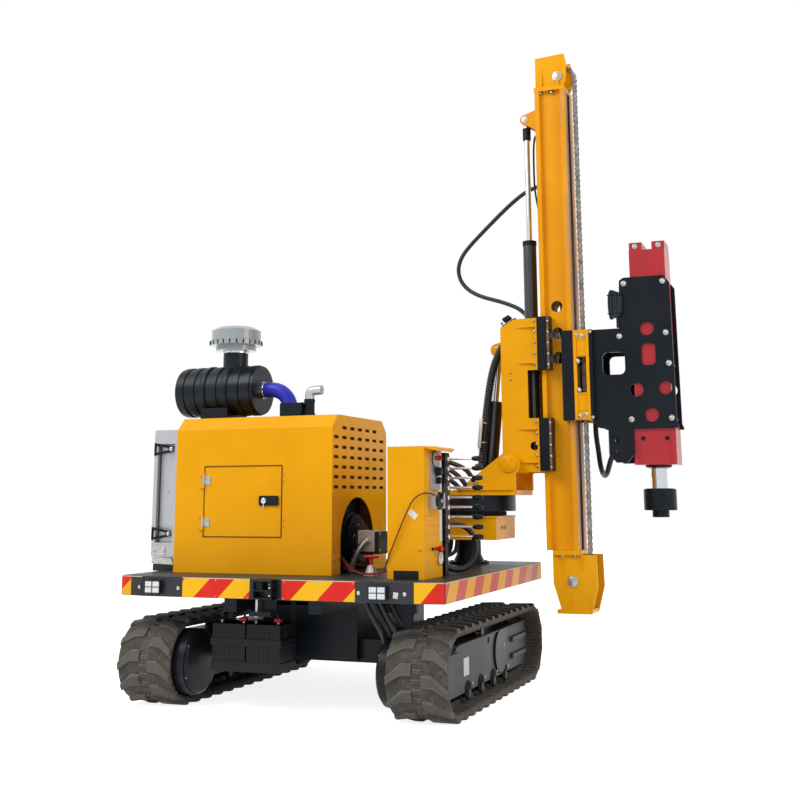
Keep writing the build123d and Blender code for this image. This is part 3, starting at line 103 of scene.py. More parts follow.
floor_mesh = bpy.data.meshes.new("floor")
corners = [(x * floor_reach, y * floor_reach, 0) for x, y in ((-1, -1), (1, -1), (1, 1), (-1, 1))]
floor_mesh.from_pydata(corners, [], [(0, 1, 2, 3)])
floor = bpy.data.objects.new("floor", floor_mesh)
bpy.context.scene.collection.objects.link(floor)
floor.location.z = -floor_drop
floor_look = bpy.data.materials.new("floor_sheet")
tree = blank_tree(floor_look)
sheet = node(tree, "BsdfDiffuse", {"Color": (floor_white, floor_white, floor_white, 1)})
glow = node(tree, "Emission", {"Strength": sum_of(tree, seen_white(tree), floor_glow, "MULTIPLY")})
both = node(tree, "AddShader", {0: sheet.outputs[0], 1: glow.outputs[0]})
node(tree, "OutputMaterial", {"Surface": both.outputs[0]})
floor_mesh.materials.append(floor_look)
floor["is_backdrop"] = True

# Studio light: a white room that lights softly from all round, a large soft lamp over the left rear
# and a weaker one at the right, so that the sides of the machine part from each other.
room_light, seen_light, lamps_aim = 0.56, 1.0, Vector((0, 0, 1.6))
world = bpy.data.worlds.new("white_room")
bpy.context.scene.world = world
tree = blank_tree(world)
room, white = (node(tree, "Background", {"Color": (1, 1, 1, 1), "Strength": light})
               for light in (room_light, seen_light))
choose = node(tree, "MixShader", {"Fac": seen_white(tree), 1: room.outputs[0], 2: white.outputs[0]})
node(tree, "OutputWorld", {"Surface": choose.outputs[0]})

for lamp_name, spot, size, power in (
    ("key_lamp", (-4.5, -6.0, 8.5), 5.0, 560),
    ("side_lamp", (8.0, -2.5, 5.0), 4.0, 190),
):
    lamp = bpy.data.lights.new(lamp_name, "AREA")
    lamp.size = size
    lamp.energy = power
    holder = bpy.data.objects.new(lamp_name, lamp)
    holder.location = spot
    holder.rotation_euler = (lamps_aim - Vector(spot)).to_track_quat("-Z", "Y").to_euler()
    bpy.context.scene.collection.objects.link(holder)

# Camera: stands behind the machine's right rear corner at eye height, where the photographer stood.
camera_data = bpy.data.cameras.new("camera")
camera_data.sensor_width, camera_data.lens = 36, 50.808
camera_data.shift_x, camera_data.shift_y = -0.00669, -0.1545
eye = (2.8651, -7.7887, 1.3547)
turn, pitch, roll = radians(20.884), radians(11.081), radians(-0.234)
ahead = Vector((-sin(turn) * cos(pitch), cos(turn) * cos(pitch), sin(pitch)))
level = Vector((cos(turn), sin(turn), 0))
upward = level.cross(ahead)
right = cos(roll) * level + sin(roll) * upward
upright = -sin(roll) * level + cos(roll) * upward
camera = bpy.data.objects.new("camera", camera_data)
camera.matrix_world = Matrix.Translation(eye) @ Matrix((right, upright, -ahead)).transposed().to_4x4()
bpy.context.scene.collection.objects.link(camera)
bpy.context.scene.camera = camera
bpy.context.scene.view_settings.view_transform = "Standard"

# Free hoses: black rubber or corrugated plastic, on the routes that they hang in. Each goes from one
# fitting on the rig to another, and rides with the body that carries its first end.
def colour(*channels):
    """A paint-card colour, 0 to 255 a channel, as light values."""
    shares = (channel / 255 for channel in channels)
    return (*(s / 12.92 if s <= 0.04045 else ((s + 0.055) / 1.055) ** 2.4 for s in shares), 1)


def new_group(name, inputs, outputs):
    """An empty shader group with these inputs (name, value) and outputs (name, socket kind)."""
    made = bpy.data.node_groups.new(name, "ShaderNodeTree")
    for label, value in inputs:
        made.interface.new_socket(label, in_out="INPUT", socket_type="NodeSocketFloat").default_value = value
    for label, kind in outputs:
        made.interface.new_socket(label, in_out="OUTPUT", socket_type="NodeSocket" + kind)
    return made, made.nodes.new("NodeGroupInput").outputs, made.nodes.new("NodeGroupOutput").inputs


def span(tree, value, low, high, to_low=0.0, to_high=1.0):
    """The value stretched from one range to another, smooth and held at its ends."""
    return node(tree, "MapRange", {"Value": value, "From Min": low, "From Max": high, "To Min": to_low,
                                   "To Max": to_high}, interpolation_type="SMOOTHSTEP").outputs["Result"]


def mixed(tree, factor, first, second):
    """Colour between two, each a colour or a socket."""
    made = node(tree, "Mix", {0: factor}, data_type="RGBA")
    for index, value in ((6, first), (7, second)):
        if isinstance(value, bpy.types.NodeSocket):
            tree.links.new(value, made.inputs[index])
        else:
            made.inputs[index].default_value = value
    return made.outputs[2]


# Field use: cloudy tint, dust on top faces and near the ground, bare stock where the eased edge turns away
# from its face, and a fine skin.
field_use, given, result = new_group(
    "field_use",
    (("Cloud Size", 2.0), ("Edge Width", 0.004), ("Edge Share", 0.4), ("Dust Share", 0.4)),
    (("Cloud", "Float"), ("Edge", "Float"), ("Dust", "Float"), ("Skin", "Float"), ("Round", "Vector")),
)
t = field_use
spot = node(t, "TexCoord").outputs["Object"]
shape = node(t, "NewGeometry").outputs
cloud = node(t, "TexNoise", {"Vector": spot, "Scale": given["Cloud Size"], "Detail": 5.0,
                             "Roughness": 0.6}).outputs["Fac"]
fine = node(t, "TexNoise", {"Vector": spot, "Scale": 46.0, "Detail": 6.0, "Roughness": 0.7}).outputs["Fac"]
soft = node(t, "Bevel", {"Radius": given["Edge Width"]}, samples=4).outputs["Normal"]
same = node(t, "VectorMath", {0: soft, 1: shape["Normal"]}, operation="DOT_PRODUCT").outputs["Value"]
worn = sum_of(t, span(t, same, 0.995, 0.86), given["Edge Share"], "MULTIPLY")
t.links.new(span(t, sum_of(t, worn, fine), 0.86, 0.98), result["Edge"])
up = node(t, "SeparateXYZ", {0: shape["Normal"]}).outputs["Z"]
high = node(t, "SeparateXYZ", {0: spot}).outputs["Z"]
settled = sum_of(t, span(t, high, 0.75, 0.0, 0.0, 0.55), span(t, up, 0.3, 1.0, 0.0, 0.5))
dusty = sum_of(t, sum_of(t, settled, fine, "MULTIPLY"), given["Dust Share"], "MULTIPLY")
t.links.new(dusty, result["Dust"])
t.links.new(span(t, cloud, 0.3, 0.7), result["Cloud"])
grained = node(t, "TexNoise", {"Vector": spot, "Scale": 420.0, "Detail": 2.0}).outputs["Fac"]
t.links.new(grained, result["Skin"])
t.links.new(soft, result["Round"])

# Width and share of the bare stock on the edges of what doesn't wear.
unworn = (0.001, 0.0)
# How far the roughness differs from spot to spot.
dull_spread = 0.12


def surface(name, tints, bare, roughness, edge=(0.004, 0.4), dust=0.4, metal=0.0, bare_metal=0.7, cloud=2.0,
            grain=0.25, coat=0.0, gloss=0.3, earth=(134, 133, 130), relief=None):
    """A material with two close tints, bare stock on worn edges, settled dust and a fine skin. A function as
    tints gives the base colour instead, and relief(tree) gives a height in metres."""
    made = bpy.data.materials.new(name)
    t = blank_tree(made)
    use = node(t, "Group", {"Cloud Size": cloud, "Edge Width": edge[0], "Edge Share": edge[1],
                            "Dust Share": dust}, node_tree=field_use).outputs
    base = tints(t, use) if callable(tints) else mixed(t, use["Cloud"], *(colour(*c) for c in tints))
    covered = mixed(t, use["Dust"], mixed(t, use["Edge"], base, colour(*bare)), colour(*earth))
    dull = node(t, "Math", {0: use["Cloud"], 1: dull_spread, 2: roughness - dull_spread / 2},
                operation="MULTIPLY_ADD").outputs[0]
    duller = node(t, "Math", {0: use["Dust"], 1: 0.6, 2: dull}, operation="MULTIPLY_ADD").outputs[0]
    shine = node(t, "MapRange", {"Value": use["Edge"], "To Min": metal, "To Max": bare_metal}).outputs[0]
    skin = node(t, "Bump", {"Height": use["Skin"], "Strength": grain, "Distance": 0.0004,
                            "Normal": use["Round"]})
    if relief:
        skin = node(t, "Bump", {"Height": relief(t), "Strength": 1.0, "Distance": 1.0,
                                "Normal": skin.outputs[0]})
    body = node(t, "BsdfPrincipled", {"Base Color": covered, "Roughness": duller, "Metallic": shine,
                                      "Normal": skin.outputs[0], "Coat Weight": coat,
                                      "Specular IOR Level": gloss, "Coat Roughness": 0.15})
    node(t, "OutputMaterial", {"Surface": body.outputs[0]})
    return made


def centre_line(route):
    """Points close together along the smooth NURBS line of a route."""
    curve = bpy.data.curves.new("line", "CURVE")
    curve.dimensions = "3D"
    thread(curve, route, 40)
    holder = bpy.data.objects.new("line", curve)
    bpy.context.scene.collection.objects.link(holder)
    drawn = bpy.data.meshes.new_from_object(holder.evaluated_get(bpy.context.evaluated_depsgraph_get()))
    points = [v.co.copy() for v in drawn.vertices]
    bpy.data.objects.remove(holder)
    return points


def thread(curve, route, resolution):
    """Adds the route to a curve as one open NURBS line."""
    line = curve.splines.new("NURBS")
    line.points.add(len(route) - 1)
    for point, at in zip(line.points, route):
        point.co = (*place(*at), 1)
    line.order_u = 3
    line.use_endpoint_u = True
    line.resolution_u = resolution


def along(points, pitch):
    """Points this far apart on a line of points, each with its direction."""
    found, left = [], 0.0
    for a, b in zip(points, points[1:]):
        step = b - a
        way = left
        while way < step.length:
            found.append((a + step.normalized() * way, step.normalized()))
            way += pitch
        left = way - step.length
    found.append((points[-1], (points[-1] - points[-2]).normalized()))
    return found


def sheath(bm, points, pitch, radius_at, sides, beside):
    """The skin of a round hose along a line of points, radius_at(number) giving each ring's radius."""
    rings = []
    for number, (at, ahead) in enumerate(along(points, pitch)):
        beside = (beside - ahead * beside.dot(ahead)).normalized()
        above = ahead.cross(beside)
        rings.append([bm.verts.new(at + radius_at(number) * (cos(a) * beside + sin(a) * above))
                      for a in (2 * pi * i / sides for i in range(sides))])
    for low, high in zip(rings, rings[1:]):
        for i in range(sides):
            bm.faces.new((low[i], low[i - 1], high[i - 1], high[i]))
    bm.faces.new(rings[0])
    bm.faces.new(reversed(rings[-1]))


def keep(piece, body, material):
    """Links a finished piece, gives it its material and lets it ride with a body."""
    bpy.context.scene.collection.objects.link(piece)
    piece.data.materials.append(material)
    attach(piece, body)
    return piece


def smooth_hose(name, body, diameter, route, length, material, **facts):
    """A plain free hose, one curve through its route's control points."""
    curve = bpy.data.curves.new(name + "_line", "CURVE")
    curve.dimensions = "3D"
    thread(curve, route, 16)
    curve.bevel_depth = diameter / 2
    curve.bevel_resolution = 5
    curve.use_fill_caps = True
    piece = keep(bpy.data.objects.new(name + "_line", curve), body, material)
    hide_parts(name)
    return piece


def ribbed_hose(name, body, diameter, route, length, material, pitch=0.011, depth=0.0035, **facts):
    """A corrugated free hose: rings of two radii in turn along its route's line."""
    points = centre_line(route)
    radii = [diameter / 2 - cut for cut in (0, 0, depth * 0.7, depth)]
    bm = bmesh.new()
    sheath(bm, points, pitch / 4, lambda number: radii[number % 4], 20, Vector((0.3, 1, 0.2)))
    mesh = bpy.data.meshes.new(name + "_sleeve")
    bm.to_mesh(mesh)
    mesh.shade_smooth()
    piece = keep(bpy.data.objects.new(name + "_sleeve", mesh), body, material)
    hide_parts(name)
    return piece


hose_rubber = surface("hose_rubber", ((20, 25, 31), (28, 33, 40)), (96, 100, 104), 0.42, edge=(0.002, 0.0),
                      dust=0.5, cloud=7.0, grain=0.5)
loom_plastic = surface("loom_plastic", ((17, 21, 26), (26, 30, 35)), (90, 92, 94), 0.34, edge=unworn,
                       dust=0.6, cloud=11.0, grain=0.3)
smooth_hose("mast_hose", "carrier", 0.034, (
    (1200, 2080, 2600), (1200, 2080, 2685), (1172, 2089, 2768), (1110, 2104, 2836), (1020, 2128, 2884),
    (900, 2163, 2932), (765, 2203, 2976), (640, 2235, 3040), (556, 2250, 3130), (530, 2254, 3240),
    (566, 2253, 3345), (650, 2248, 3440), (774, 2230, 3545), (920, 2192, 3658), (1070, 2144, 3760),
    (1210, 2096, 3828), (1339, 2070, 3850),
), 2.09, hose_rubber, stiffness="stiff", lay="hanging")
ribbed_hose("deck_hose", "chassis", 0.038, (
    (905, 640, 1165), (905, 703, 1165), (919, 765, 1170), (951, 822, 1174), (988, 875, 1168),
    (1022, 923, 1140), (1047, 958, 1090), (1058, 970, 1027), (1053, 958, 962), (1033, 925, 910),
    (1005, 876, 880), (976, 816, 875), (949, 752, 885), (933, 686, 905), (933, 620, 905),
), 0.905, loom_plastic, stiffness="limp", lay="loose")
smooth_hose("hammer_hose", "sledge", 0.040, (
    (2019, 1950, 1745), (1959, 1950, 1745), (1871, 1952, 1704), (1834, 1958, 1663), (1810, 1970, 1615),
    (1792, 1996, 1570), (1773, 2034, 1535), (1752, 2080, 1515), (1731, 2131, 1513), (1709, 2178, 1532),
    (1691, 2213, 1570), (1679, 2233, 1619), (1673, 2239, 1673), (1668, 2234, 1730), (1663, 2221, 1786),
    (1660, 2210, 1851), (1660, 2210, 1917),
), 0.947, hose_rubber, stiffness="limp", lay="hanging")
ribbed_hose("tilt_hose", "tilt_barrel", 0.064, (
    (841.2, 1836, 1602.9), (849.9, 1836, 1688.5), (866, 1836, 1845), (887, 1836, 2010), (908, 1836, 2150),
    (929, 1836, 2265), (954, 1836, 2358), (987, 1836, 2440), (1030, 1836, 2512), (1078, 1836, 2568),
), 1.01, loom_plastic, pitch=0.02, depth=0.006, stiffness="stiff", lay="hanging")

# Rubber tracks: one endless belt a side, moulded in dark rubber with wedge-shaped lugs in two staggered
# rows outside and two rows of guide lugs inside. The ground has scuffed them to a dull grey-brown.
track_gauge, loop_run, loop_y, loop_radius, belt_radius = 1916, 1770, 1185, 280, 260
bend_radius, belt_bends, lug_count, rib_count = 256, 216, 34, 92
loop_length = 2 * loop_run + 2 * pi * bend_radius


def on_track(way, rise):
    """Y and Z at this way round the loop, rise above the belt's outer face."""
    way, arc, r = way % loop_length, pi * bend_radius, belt_radius + rise
    if way < loop_run:
        return loop_y - loop_run / 2 + way, loop_radius - r
    if way < loop_run + arc:
        a = (way - loop_run) / bend_radius
        return loop_y + loop_run / 2 + r * sin(a), loop_radius - r * cos(a)
    if way < 2 * loop_run + arc:
        return loop_y + loop_run / 2 - (way - loop_run - arc), loop_radius + r
    a = (way - 2 * loop_run - arc) / bend_radius
    return loop_y - loop_run / 2 - r * sin(a), loop_radius + r * cos(a)


def on_belt(track_x, half, start, ring, rise):
    """An outline of (way, x) points, laid on one half of a belt at this rise."""
    return [(track_x + half * x, *on_track(start + way, rise)) for way, x in ring]


def skin(bm, rings, closed=False):
    """Faces between rings of points, each ring a closed outline in millimetres."""
    made = [[bm.verts.new(place(*p)) for p in ring] for ring in rings]
    pairs = list(zip(made, made[1:] + made[:1] if closed else made[1:]))
    for low, high in pairs:
        for i in range(len(low)):
            bm.faces.new((low[i - 1], low[i], high[i], high[i - 1]))
    if not closed:
        bm.faces.new(reversed(made[0]))
        bm.faces.new(made[-1])


sharp_edge, eased_edge = radians(35), radians(40)


def finished(name, bm, body, material, bevel=0.0):
    """Turns a mesh in the making into a piece that rides with a body, its edges eased in millimetres."""
    bmesh.ops.recalc_face_normals(bm, faces=bm.faces)
    mesh = bpy.data.meshes.new(name)
    bm.to_mesh(mesh)
    bm.free()
    mesh.shade_smooth()
    mesh.set_sharp_from_angle(angle=sharp_edge)
    piece = keep(bpy.data.objects.new(name, mesh), body, material)
    if bevel:
        ease = piece.modifiers.new("eased_edges", "BEVEL")
        ease.width, ease.segments, ease.limit_method = bevel / 1000, 2, "ANGLE"
        ease.angle_limit = eased_edge
        ease.harden_normals = True
    return piece


def soiled(t, base, soil, low, high, most, **noise):
    """The base colour with patches of soil, which grow to this much between two levels of a noise."""
    spot = node(t, "TexCoord").outputs["Object"]
    patches = node(t, "TexNoise", {"Vector": spot, **noise}).outputs["Fac"]
    return mixed(t, span(t, patches, low, high, 0.0, most), base, soil)


def belt_tint(t, use):
    """Brown-grey rubber with paler soil in patches."""
    base = mixed(t, use["Cloud"], colour(56, 51, 46), colour(88, 79, 71))
    return soiled(t, base, colour(118, 106, 94), 0.48, 0.74, 0.8, Scale=26.0, Detail=7.0, Roughness=0.72)


def lug_tint(t, use):
    """Grey rubber with brown soil in patches."""
    base = mixed(t, use["Cloud"], colour(70, 70, 69), colour(92, 91, 88))
    return soiled(t, base, colour(94, 84, 74), 0.44, 0.66, 0.9, Scale=17.0, Detail=7.0, Roughness=0.7)


belt_rubber = surface("belt_rubber", belt_tint, (158, 150, 140), 0.84, edge=(0.006, 0.8), dust=0.45,
                      bare_metal=0.0, cloud=6.0, grain=0.9, gloss=0.3)
lug_rubber = surface("lug_rubber", lug_tint, (178, 174, 166), 0.74, edge=(0.007, 1.0), dust=0.35,
                     bare_metal=0.0, cloud=9.0, grain=0.9, gloss=0.35)
# Outlines of (way, x) on one half of a belt, and the belt's section of (x, rise).
lug_foot = ((-42, 30), (34, 30), (40, 108), (94, 201), (40, 201), (-40, 100))
lug_top = ((-34, 36), (25, 36), (30, 104), (80, 194), (46, 194), (-33, 94))
guide_foot, guide_top = ((-20, 40), (20, 40), (20, 78), (-20, 78)), ((-11, 44), (11, 44), (11, 74), (-11, 74))
belt_edge = ((-200, -4), (-194, 0), (194, 0), (200, -4), (200, -19), (188, -25), (-188, -25), (-200, -19))
middle_pad, side_pad = (((-11, a), (11, a), (11, b), (-11, b)) for a, b in ((4, 27), (84, 190)))
for node_name, track_x in (("track_left", -track_gauge / 2), ("track_right", track_gauge / 2)):
    bm, lugs = bmesh.new(), bmesh.new()
    skin(bm, [[(track_x + x, *on_track(i * loop_length / belt_bends, rise)) for x, rise in belt_edge]
              for i in range(belt_bends)], closed=True)
    for half, stagger in ((-1, 0), (1, 0.42)):
        for i in range(lug_count):
            start = (i + stagger) * loop_length / lug_count
            skin(lugs, [on_belt(track_x, half, start, ring, rise)
                        for ring, rise in ((lug_foot, -2), (lug_foot, 3), (lug_top, 20))])
        for i in range(rib_count):
            start = i * loop_length / rib_count
            for foot, low, top, high in ((guide_foot, -24, guide_top, -58), (middle_pad, -2, middle_pad, 7),
                                         (side_pad, -24, side_pad, -35)):
                skin(bm, [on_belt(track_x, half, start, foot, low), on_belt(track_x, half, start, top, high)])
    belt = finished(node_name + "_belt", bm, "chassis", belt_rubber, bevel=2)
    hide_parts(node_name)
    finished(node_name + "_lugs", lugs, "chassis", lug_rubber, bevel=3)

# Running gear: track frames, drive motors, idlers and rollers, welded and cast in steel under one coat of
# black paint, with covers and bolts on both faces of each frame. Its hand holes, a slot and the recesses
# round the rollers are near-black discs and ovals of painted shade. Two blank stickers are on the right frame
# and the rear skirt.
frame_black = surface("frame_black", ((10, 17, 25), (17, 24, 32)), (92, 94, 96), 0.36, edge=(0.003, 0.3),
                      dust=0.15, gloss=0.16)
zinc = surface("zinc", ((186, 184, 176), (160, 158, 150)), (210, 210, 208), 0.34, metal=0.9, bare_metal=1.0,
               edge=unworn, dust=0.3, cloud=20.0)


to_right, to_left, to_front, to_rear = (1, 0, 0), (-1, 0, 0), (0, 1, 0), (0, -1, 0)
upwards, downwards = (0, 0, 1), (0, 0, -1)


def dress(material, *names):
    """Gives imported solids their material."""
    for name in names:
        mesh = nodes[name].data
        mesh.materials.clear()
        mesh.materials.append(material)


def turned(bm, foot, along_axis, profile, sides=24, closed=False):
    """A turned form: (radius, height) rings up an axis from its foot. A closed one is bored through."""
    axis = Vector(along_axis).normalized()
    beside = axis.orthogonal().normalized()
    above = axis.cross(beside)
    rings = []
    for radius, height in profile:
        ring = [Vector(foot) + axis * height + radius * (cos(a) * beside + sin(a) * above)
                for a in (2 * pi * i / sides for i in range(sides))]
        rings.append([tuple(p) for p in ring])
    skin(bm, rings, closed)


def pin(bm, foot, along_axis, radius, length, sides):
    """A plain round bar."""
    turned(bm, foot, along_axis, ((radius, 0), (radius, length)), sides)


def ringed(count, radius, start=0.0):
    """Pairs of coordinates evenly round a circle, the first after this share of a step."""
    angles = [2 * pi * (i + start) / count for i in range(count)]
    return [(radius * cos(a), radius * sin(a)) for a in angles]


def bolt(bm, foot, along_axis, size=10):
    """A hexagon bolt head on its washer, size across its washer's radius."""
    turned(bm, foot, along_axis, ((size, -0.5), (size, size * 0.16)), 14)
    turned(bm, foot, along_axis, ((size * 0.74, 0), (size * 0.78, size * 0.5), (size * 0.62, size * 0.66)), 6)


def block(bm, x, y, z):
    """A block between pairs of X, Y and Z."""
    flat = ((x[0], y[0]), (x[1], y[0]), (x[1], y[1]), (x[0], y[1]))
    skin(bm, [[(a, b, c) for a, b in flat] for c in z])


def plate(bm, outline, across, depth, axis="X"):
    """A plate from an outline of two coordinates, standing across the third from here by this depth."""
    at = "XYZ".index(axis)
    skin(bm, [[(*point[:at], c, *point[at:]) for point in outline] for c in (across, across + depth)])


def oval(a, b, half_a, half_b, corner):
    """A rounded rectangle's outline round a middle."""
    points, steps = [], 5
    for turn_start, sa, sb in ((0, 1, 1), (90, -1, 1), (180, -1, -1), (270, 1, -1)):
        for i in range(steps + 1):
            angle = radians(turn_start + 90 * i / steps)
            points.append((a + sa * (half_a - corner) + corner * cos(angle),
                           b + sb * (half_b - corner) + corner * sin(angle)))
    return points


dress(frame_black, "track_frames", "drive_wheels", "idlers", "rollers", "centre_frame", "tow_lug")
frame_plate_x, drive_y, rollers_y, rollers_z = 115, 300, (696, 979, 1263, 1546), 106
rail_section = ((0, 433), (0, 437), (9, 431), (9, 427), (4, 419), (0, 419))
# The near-black pieces in dark are painted shade: a slot, a hand hole and rings round the rollers' bosses.
bm, heads, dark = bmesh.new(), bmesh.new(), bmesh.new()
for side in (-1, 1):
    track_x = side * track_gauge / 2
    for out in (-1, 1):
        face = track_x + out * frame_plate_x
        turned(bm, (face, 1444, 285), (out, 0, 0), ((150, 0), (150, 9), (147, 12)), 56)
        turned(heads, (face + out * 12, 1520, 318), (out, 0, 0), ((9, 0), (9, 2), (5, 2.5)), 12)
        for z in (214, 332):
            skin(bm, [[(face + out * rise, y, z + dz) for y, dz in oval(1912, 0, 200 - cut, 20 - cut / 3, 15)]
                      for rise, cut in ((-1, 0), (4, 0), (17, 14))])
        plate(bm, ((236, 150), (420, 150), (470, 210), (470, 392), (236, 392)), face, out * 14)
        plate(dark, oval(352, 416, 108, 17, 10), face, out * 2)
        pin(dark, (face, 1170, 388), (out, 0, 0), 26, 1.5, 4)
        for y in rollers_y:
            turned(dark, (face - out * 3, y, rollers_z + 22), (out, 0, 0), ((62, 0), (62, 6), (58, 7)), 32)
            turned(bm, (face + out * 3, y, rollers_z), (out, 0, 0), ((34, 0), (34, 9), (26, 12)), 24)
            bolt(heads, (face, y + 88, rollers_z + 54), (out, 0, 0), 12)
        skin(bm, [[(face + out * a, y, z) for a, z in rail_section] for y in (480, 2130)])
    motor_x = track_x - side * 270
    turned(bm, (motor_x, drive_y, loop_radius), (-side, 0, 0),
           ((203, -2), (203, 8), (186, 22), (60, 30), (40, 30)), 48)
    for y, z in ringed(6, 195, 0.4):
        turned(heads, (motor_x - side * 8, drive_y + y, loop_radius + z), (-side, 0, 0),
               ((8, 0), (8, 3), (4, 4)), 12)
# Near-black matte colour: painted shade inside the frames' holes and recesses.
hole_shade_black = surface("hole_shade_black", ((3, 3, 4), (6, 6, 7)), (30, 30, 30), 0.8, edge=unworn, dust=0.2,
                       bare_metal=0.0, gloss=0.1)
finished("frame_covers", bm, "chassis", frame_black, bevel=2)
finished("frame_bolts", heads, "chassis", zinc)
finished("frame_hole_shade", dark, "chassis", hole_shade_black)
sticker = surface("sticker", ((226, 228, 228), (214, 216, 216)), (190, 190, 190), 0.4, bare_metal=0.0,
                  dust=0.5)
bm = bmesh.new()
plate(bm, oval(668, 280, 56, 56, 6), track_gauge / 2 + frame_plate_x, 1.2)
plate(bm, ((826, 753), (858, 749), (863, 785), (830, 790)), 0, -1.2, "Y")
finished("blank_label", bm, "chassis", sticker)

# Deck: folded steel plate in black paint with a chequer tread on top and a bolted skirt. A ribbed bracket
# with the towing pin stands behind the middle of the rear edge.
deck_top, tread_cell, tread_height = 851, 0.032, 0.0016


def squared(t, value):
    """The value times itself."""
    return sum_of(t, value, value, "MULTIPLY")


def chequer(t):
    """Height of raised lozenges that lie two ways in turn, on level faces only."""
    spot = node(t, "SeparateXYZ", {0: node(t, "TexCoord").outputs["Object"]}).outputs
    u, v = (sum_of(t, spot[axis], tread_cell, "DIVIDE") for axis in "XY")
    cell = sum_of(t, sum_of(t, u, 0, "FLOOR"), sum_of(t, v, 0, "FLOOR"))
    turned_cell = sum_of(t, cell, 2, "FLOORED_MODULO")
    a, b = (sum_of(t, sum_of(t, side, 1, "FLOORED_MODULO"), 0.5, "SUBTRACT") for side in (u, v))
    b = sum_of(t, b, sum_of(t, sum_of(t, turned_cell, -2, "MULTIPLY"), 1), "MULTIPLY")
    long_way = squared(t, sum_of(t, sum_of(t, a, b), 0.62, "DIVIDE"))
    cross_way = squared(t, sum_of(t, sum_of(t, a, b, "SUBTRACT"), 0.2, "DIVIDE"))
    lozenge = span(t, sum_of(t, long_way, cross_way), 1.0, 0.5)
    up = node(t, "SeparateXYZ", {0: node(t, "NewGeometry").outputs["Normal"]}).outputs["Z"]
    return sum_of(t, sum_of(t, lozenge, span(t, up, 0.9, 0.99), "MULTIPLY"), tread_height, "MULTIPLY")


def deck_tint(t, use):
    """Black paint with pale grains of grit in it."""
    base = mixed(t, use["Cloud"], colour(15, 20, 26), colour(24, 29, 35))
    return soiled(t, base, colour(128, 130, 134), 0.6, 0.7, 0.7, Scale=240.0, Detail=3.0)


deck_black = surface("deck_black", deck_tint, (128, 127, 124), 0.4, dust=0.1, gloss=0.4, relief=chequer)
dress(deck_black, "deck")
lug_left, lug_right, hitch_x, hitch_y = -105, 33, -85, -36
bm, heads = bmesh.new(), bmesh.new()
for x in (lug_left, -16):
    bolt(heads, (x, 0, 815), to_rear, 9)
for x in (lug_left, lug_right - 12):
    block(bm, (x, x + 12), (-66, 0), (724, 846))
for z in (728, 776, 834):
    block(bm, (lug_left, lug_right), (-70, 0), (z, z + 10))
block(bm, (-92, -40), (-52, -4), (786, 834))
pin(heads, (hitch_x, hitch_y, 622), upwards, 9, 108, 14)
pin(heads, (hitch_x, hitch_y, 616), upwards, 15, 8, 14)
for z in (752, 800):
    turned(heads, (20, -70, z), to_rear, ((7, 0), (6, 3)), 12)
for x in (-989, -688, 599, 903):
    turned(heads, (x, 0 if x > -960 else 8, 778), to_rear, ((13, 0), (13, 3), (9, 8), (3, 10)), 16)
finished("skirt_brackets", bm, "chassis", frame_black, bevel=2)
finished("skirt_bolts", heads, "chassis", zinc)

# Warning boards: reflective sheet with slanting red and yellow bands, riveted to the deck's rear edge, its
# cut corners and its sides. The side boards are painted in paler, greyer bands than the rear ones.
board_period, side_period, board_z, board_base = 0.3625, 0.361, 0.783, 0.848
board_red, board_yellow = (226, 30, 22), (254, 192, 0)


def machine_xyz(t):
    """The machine's X, Y and Z at a point, in metres."""
    spot = node(t, "SeparateXYZ", {0: node(t, "TexCoord").outputs["Object"]}).outputs
    return sum_of(t, spot["X"], origin_x / 1000), sum_of(t, spot["Y"], origin_y / 1000), spot["Z"]


def beyond(t, value, edge):
    """1 where the value is over the edge, else 0."""
    return sum_of(t, value, edge, "GREATER_THAN")


def banded(t, way, start, period):
    """1 on the first half of each period from the start, else 0."""
    share = sum_of(t, sum_of(t, sum_of(t, way, start, "SUBTRACT"), period, "DIVIDE"), 1, "FLOORED_MODULO")
    return beyond(t, 0.5, share)


def board_tint(t, use):
    """Bands that lean to the upper right on the rear boards, and forward on the sides."""
    x, y, z = machine_xyz(t)
    rise = sum_of(t, z, board_base, "SUBTRACT")
    leaning = sum_of(t, x, rise, "SUBTRACT")
    left_bands, right_bands = (banded(t, leaning, start, board_period) for start in (-0.444, 0.438))
    rear_red = node(t, "Mix", {0: beyond(t, x, 0.0), 2: left_bands, 3: right_bands}).outputs[0]
    corner_red = beyond(t, sum_of(t, x, sum_of(t, rise, 0.85, "MULTIPLY"), "SUBTRACT"), 1.107)
    rear_red = node(t, "Mix", {0: beyond(t, x, 0.95), 2: rear_red, 3: corner_red}).outputs[0]
    rear = mixed(t, rear_red, colour(*board_yellow), colour(*board_red))
    wedge = beyond(t, sum_of(t, x, 1.16), sum_of(t, sum_of(t, rise, 0.10), 1.2, "MULTIPLY"))
    low_red = mixed(t, wedge, colour(*board_red), colour(236, 176, 20))
    left_corner = mixed(t, beyond(t, x, -1.064), low_red, colour(40, 40, 42))
    rear = mixed(t, beyond(t, -0.955, x), rear, left_corner)
    side_red = banded(t, sum_of(t, y, sum_of(t, rise, 0.645, "MULTIPLY"), "SUBTRACT"), 0.304, side_period)
    side = mixed(t, side_red, colour(232, 168, 60), colour(206, 84, 80))
    on_side = beyond(t, sum_of(t, x, 0, "ABSOLUTE"), 1.1495)
    board = mixed(t, on_side, rear, side)
    line = beyond(t, sum_of(t, sum_of(t, z, 0.0062, "DIVIDE"), 1, "FLOORED_MODULO"), 0.86)
    lined = mixed(t, sum_of(t, line, 0.16, "MULTIPLY"), board, colour(250, 236, 214))
    edge = sum_of(t, sum_of(t, z, board_z, "SUBTRACT"), 0, "ABSOLUTE")
    return mixed(t, beyond(t, edge, 0.0595), lined, colour(206, 196, 178))


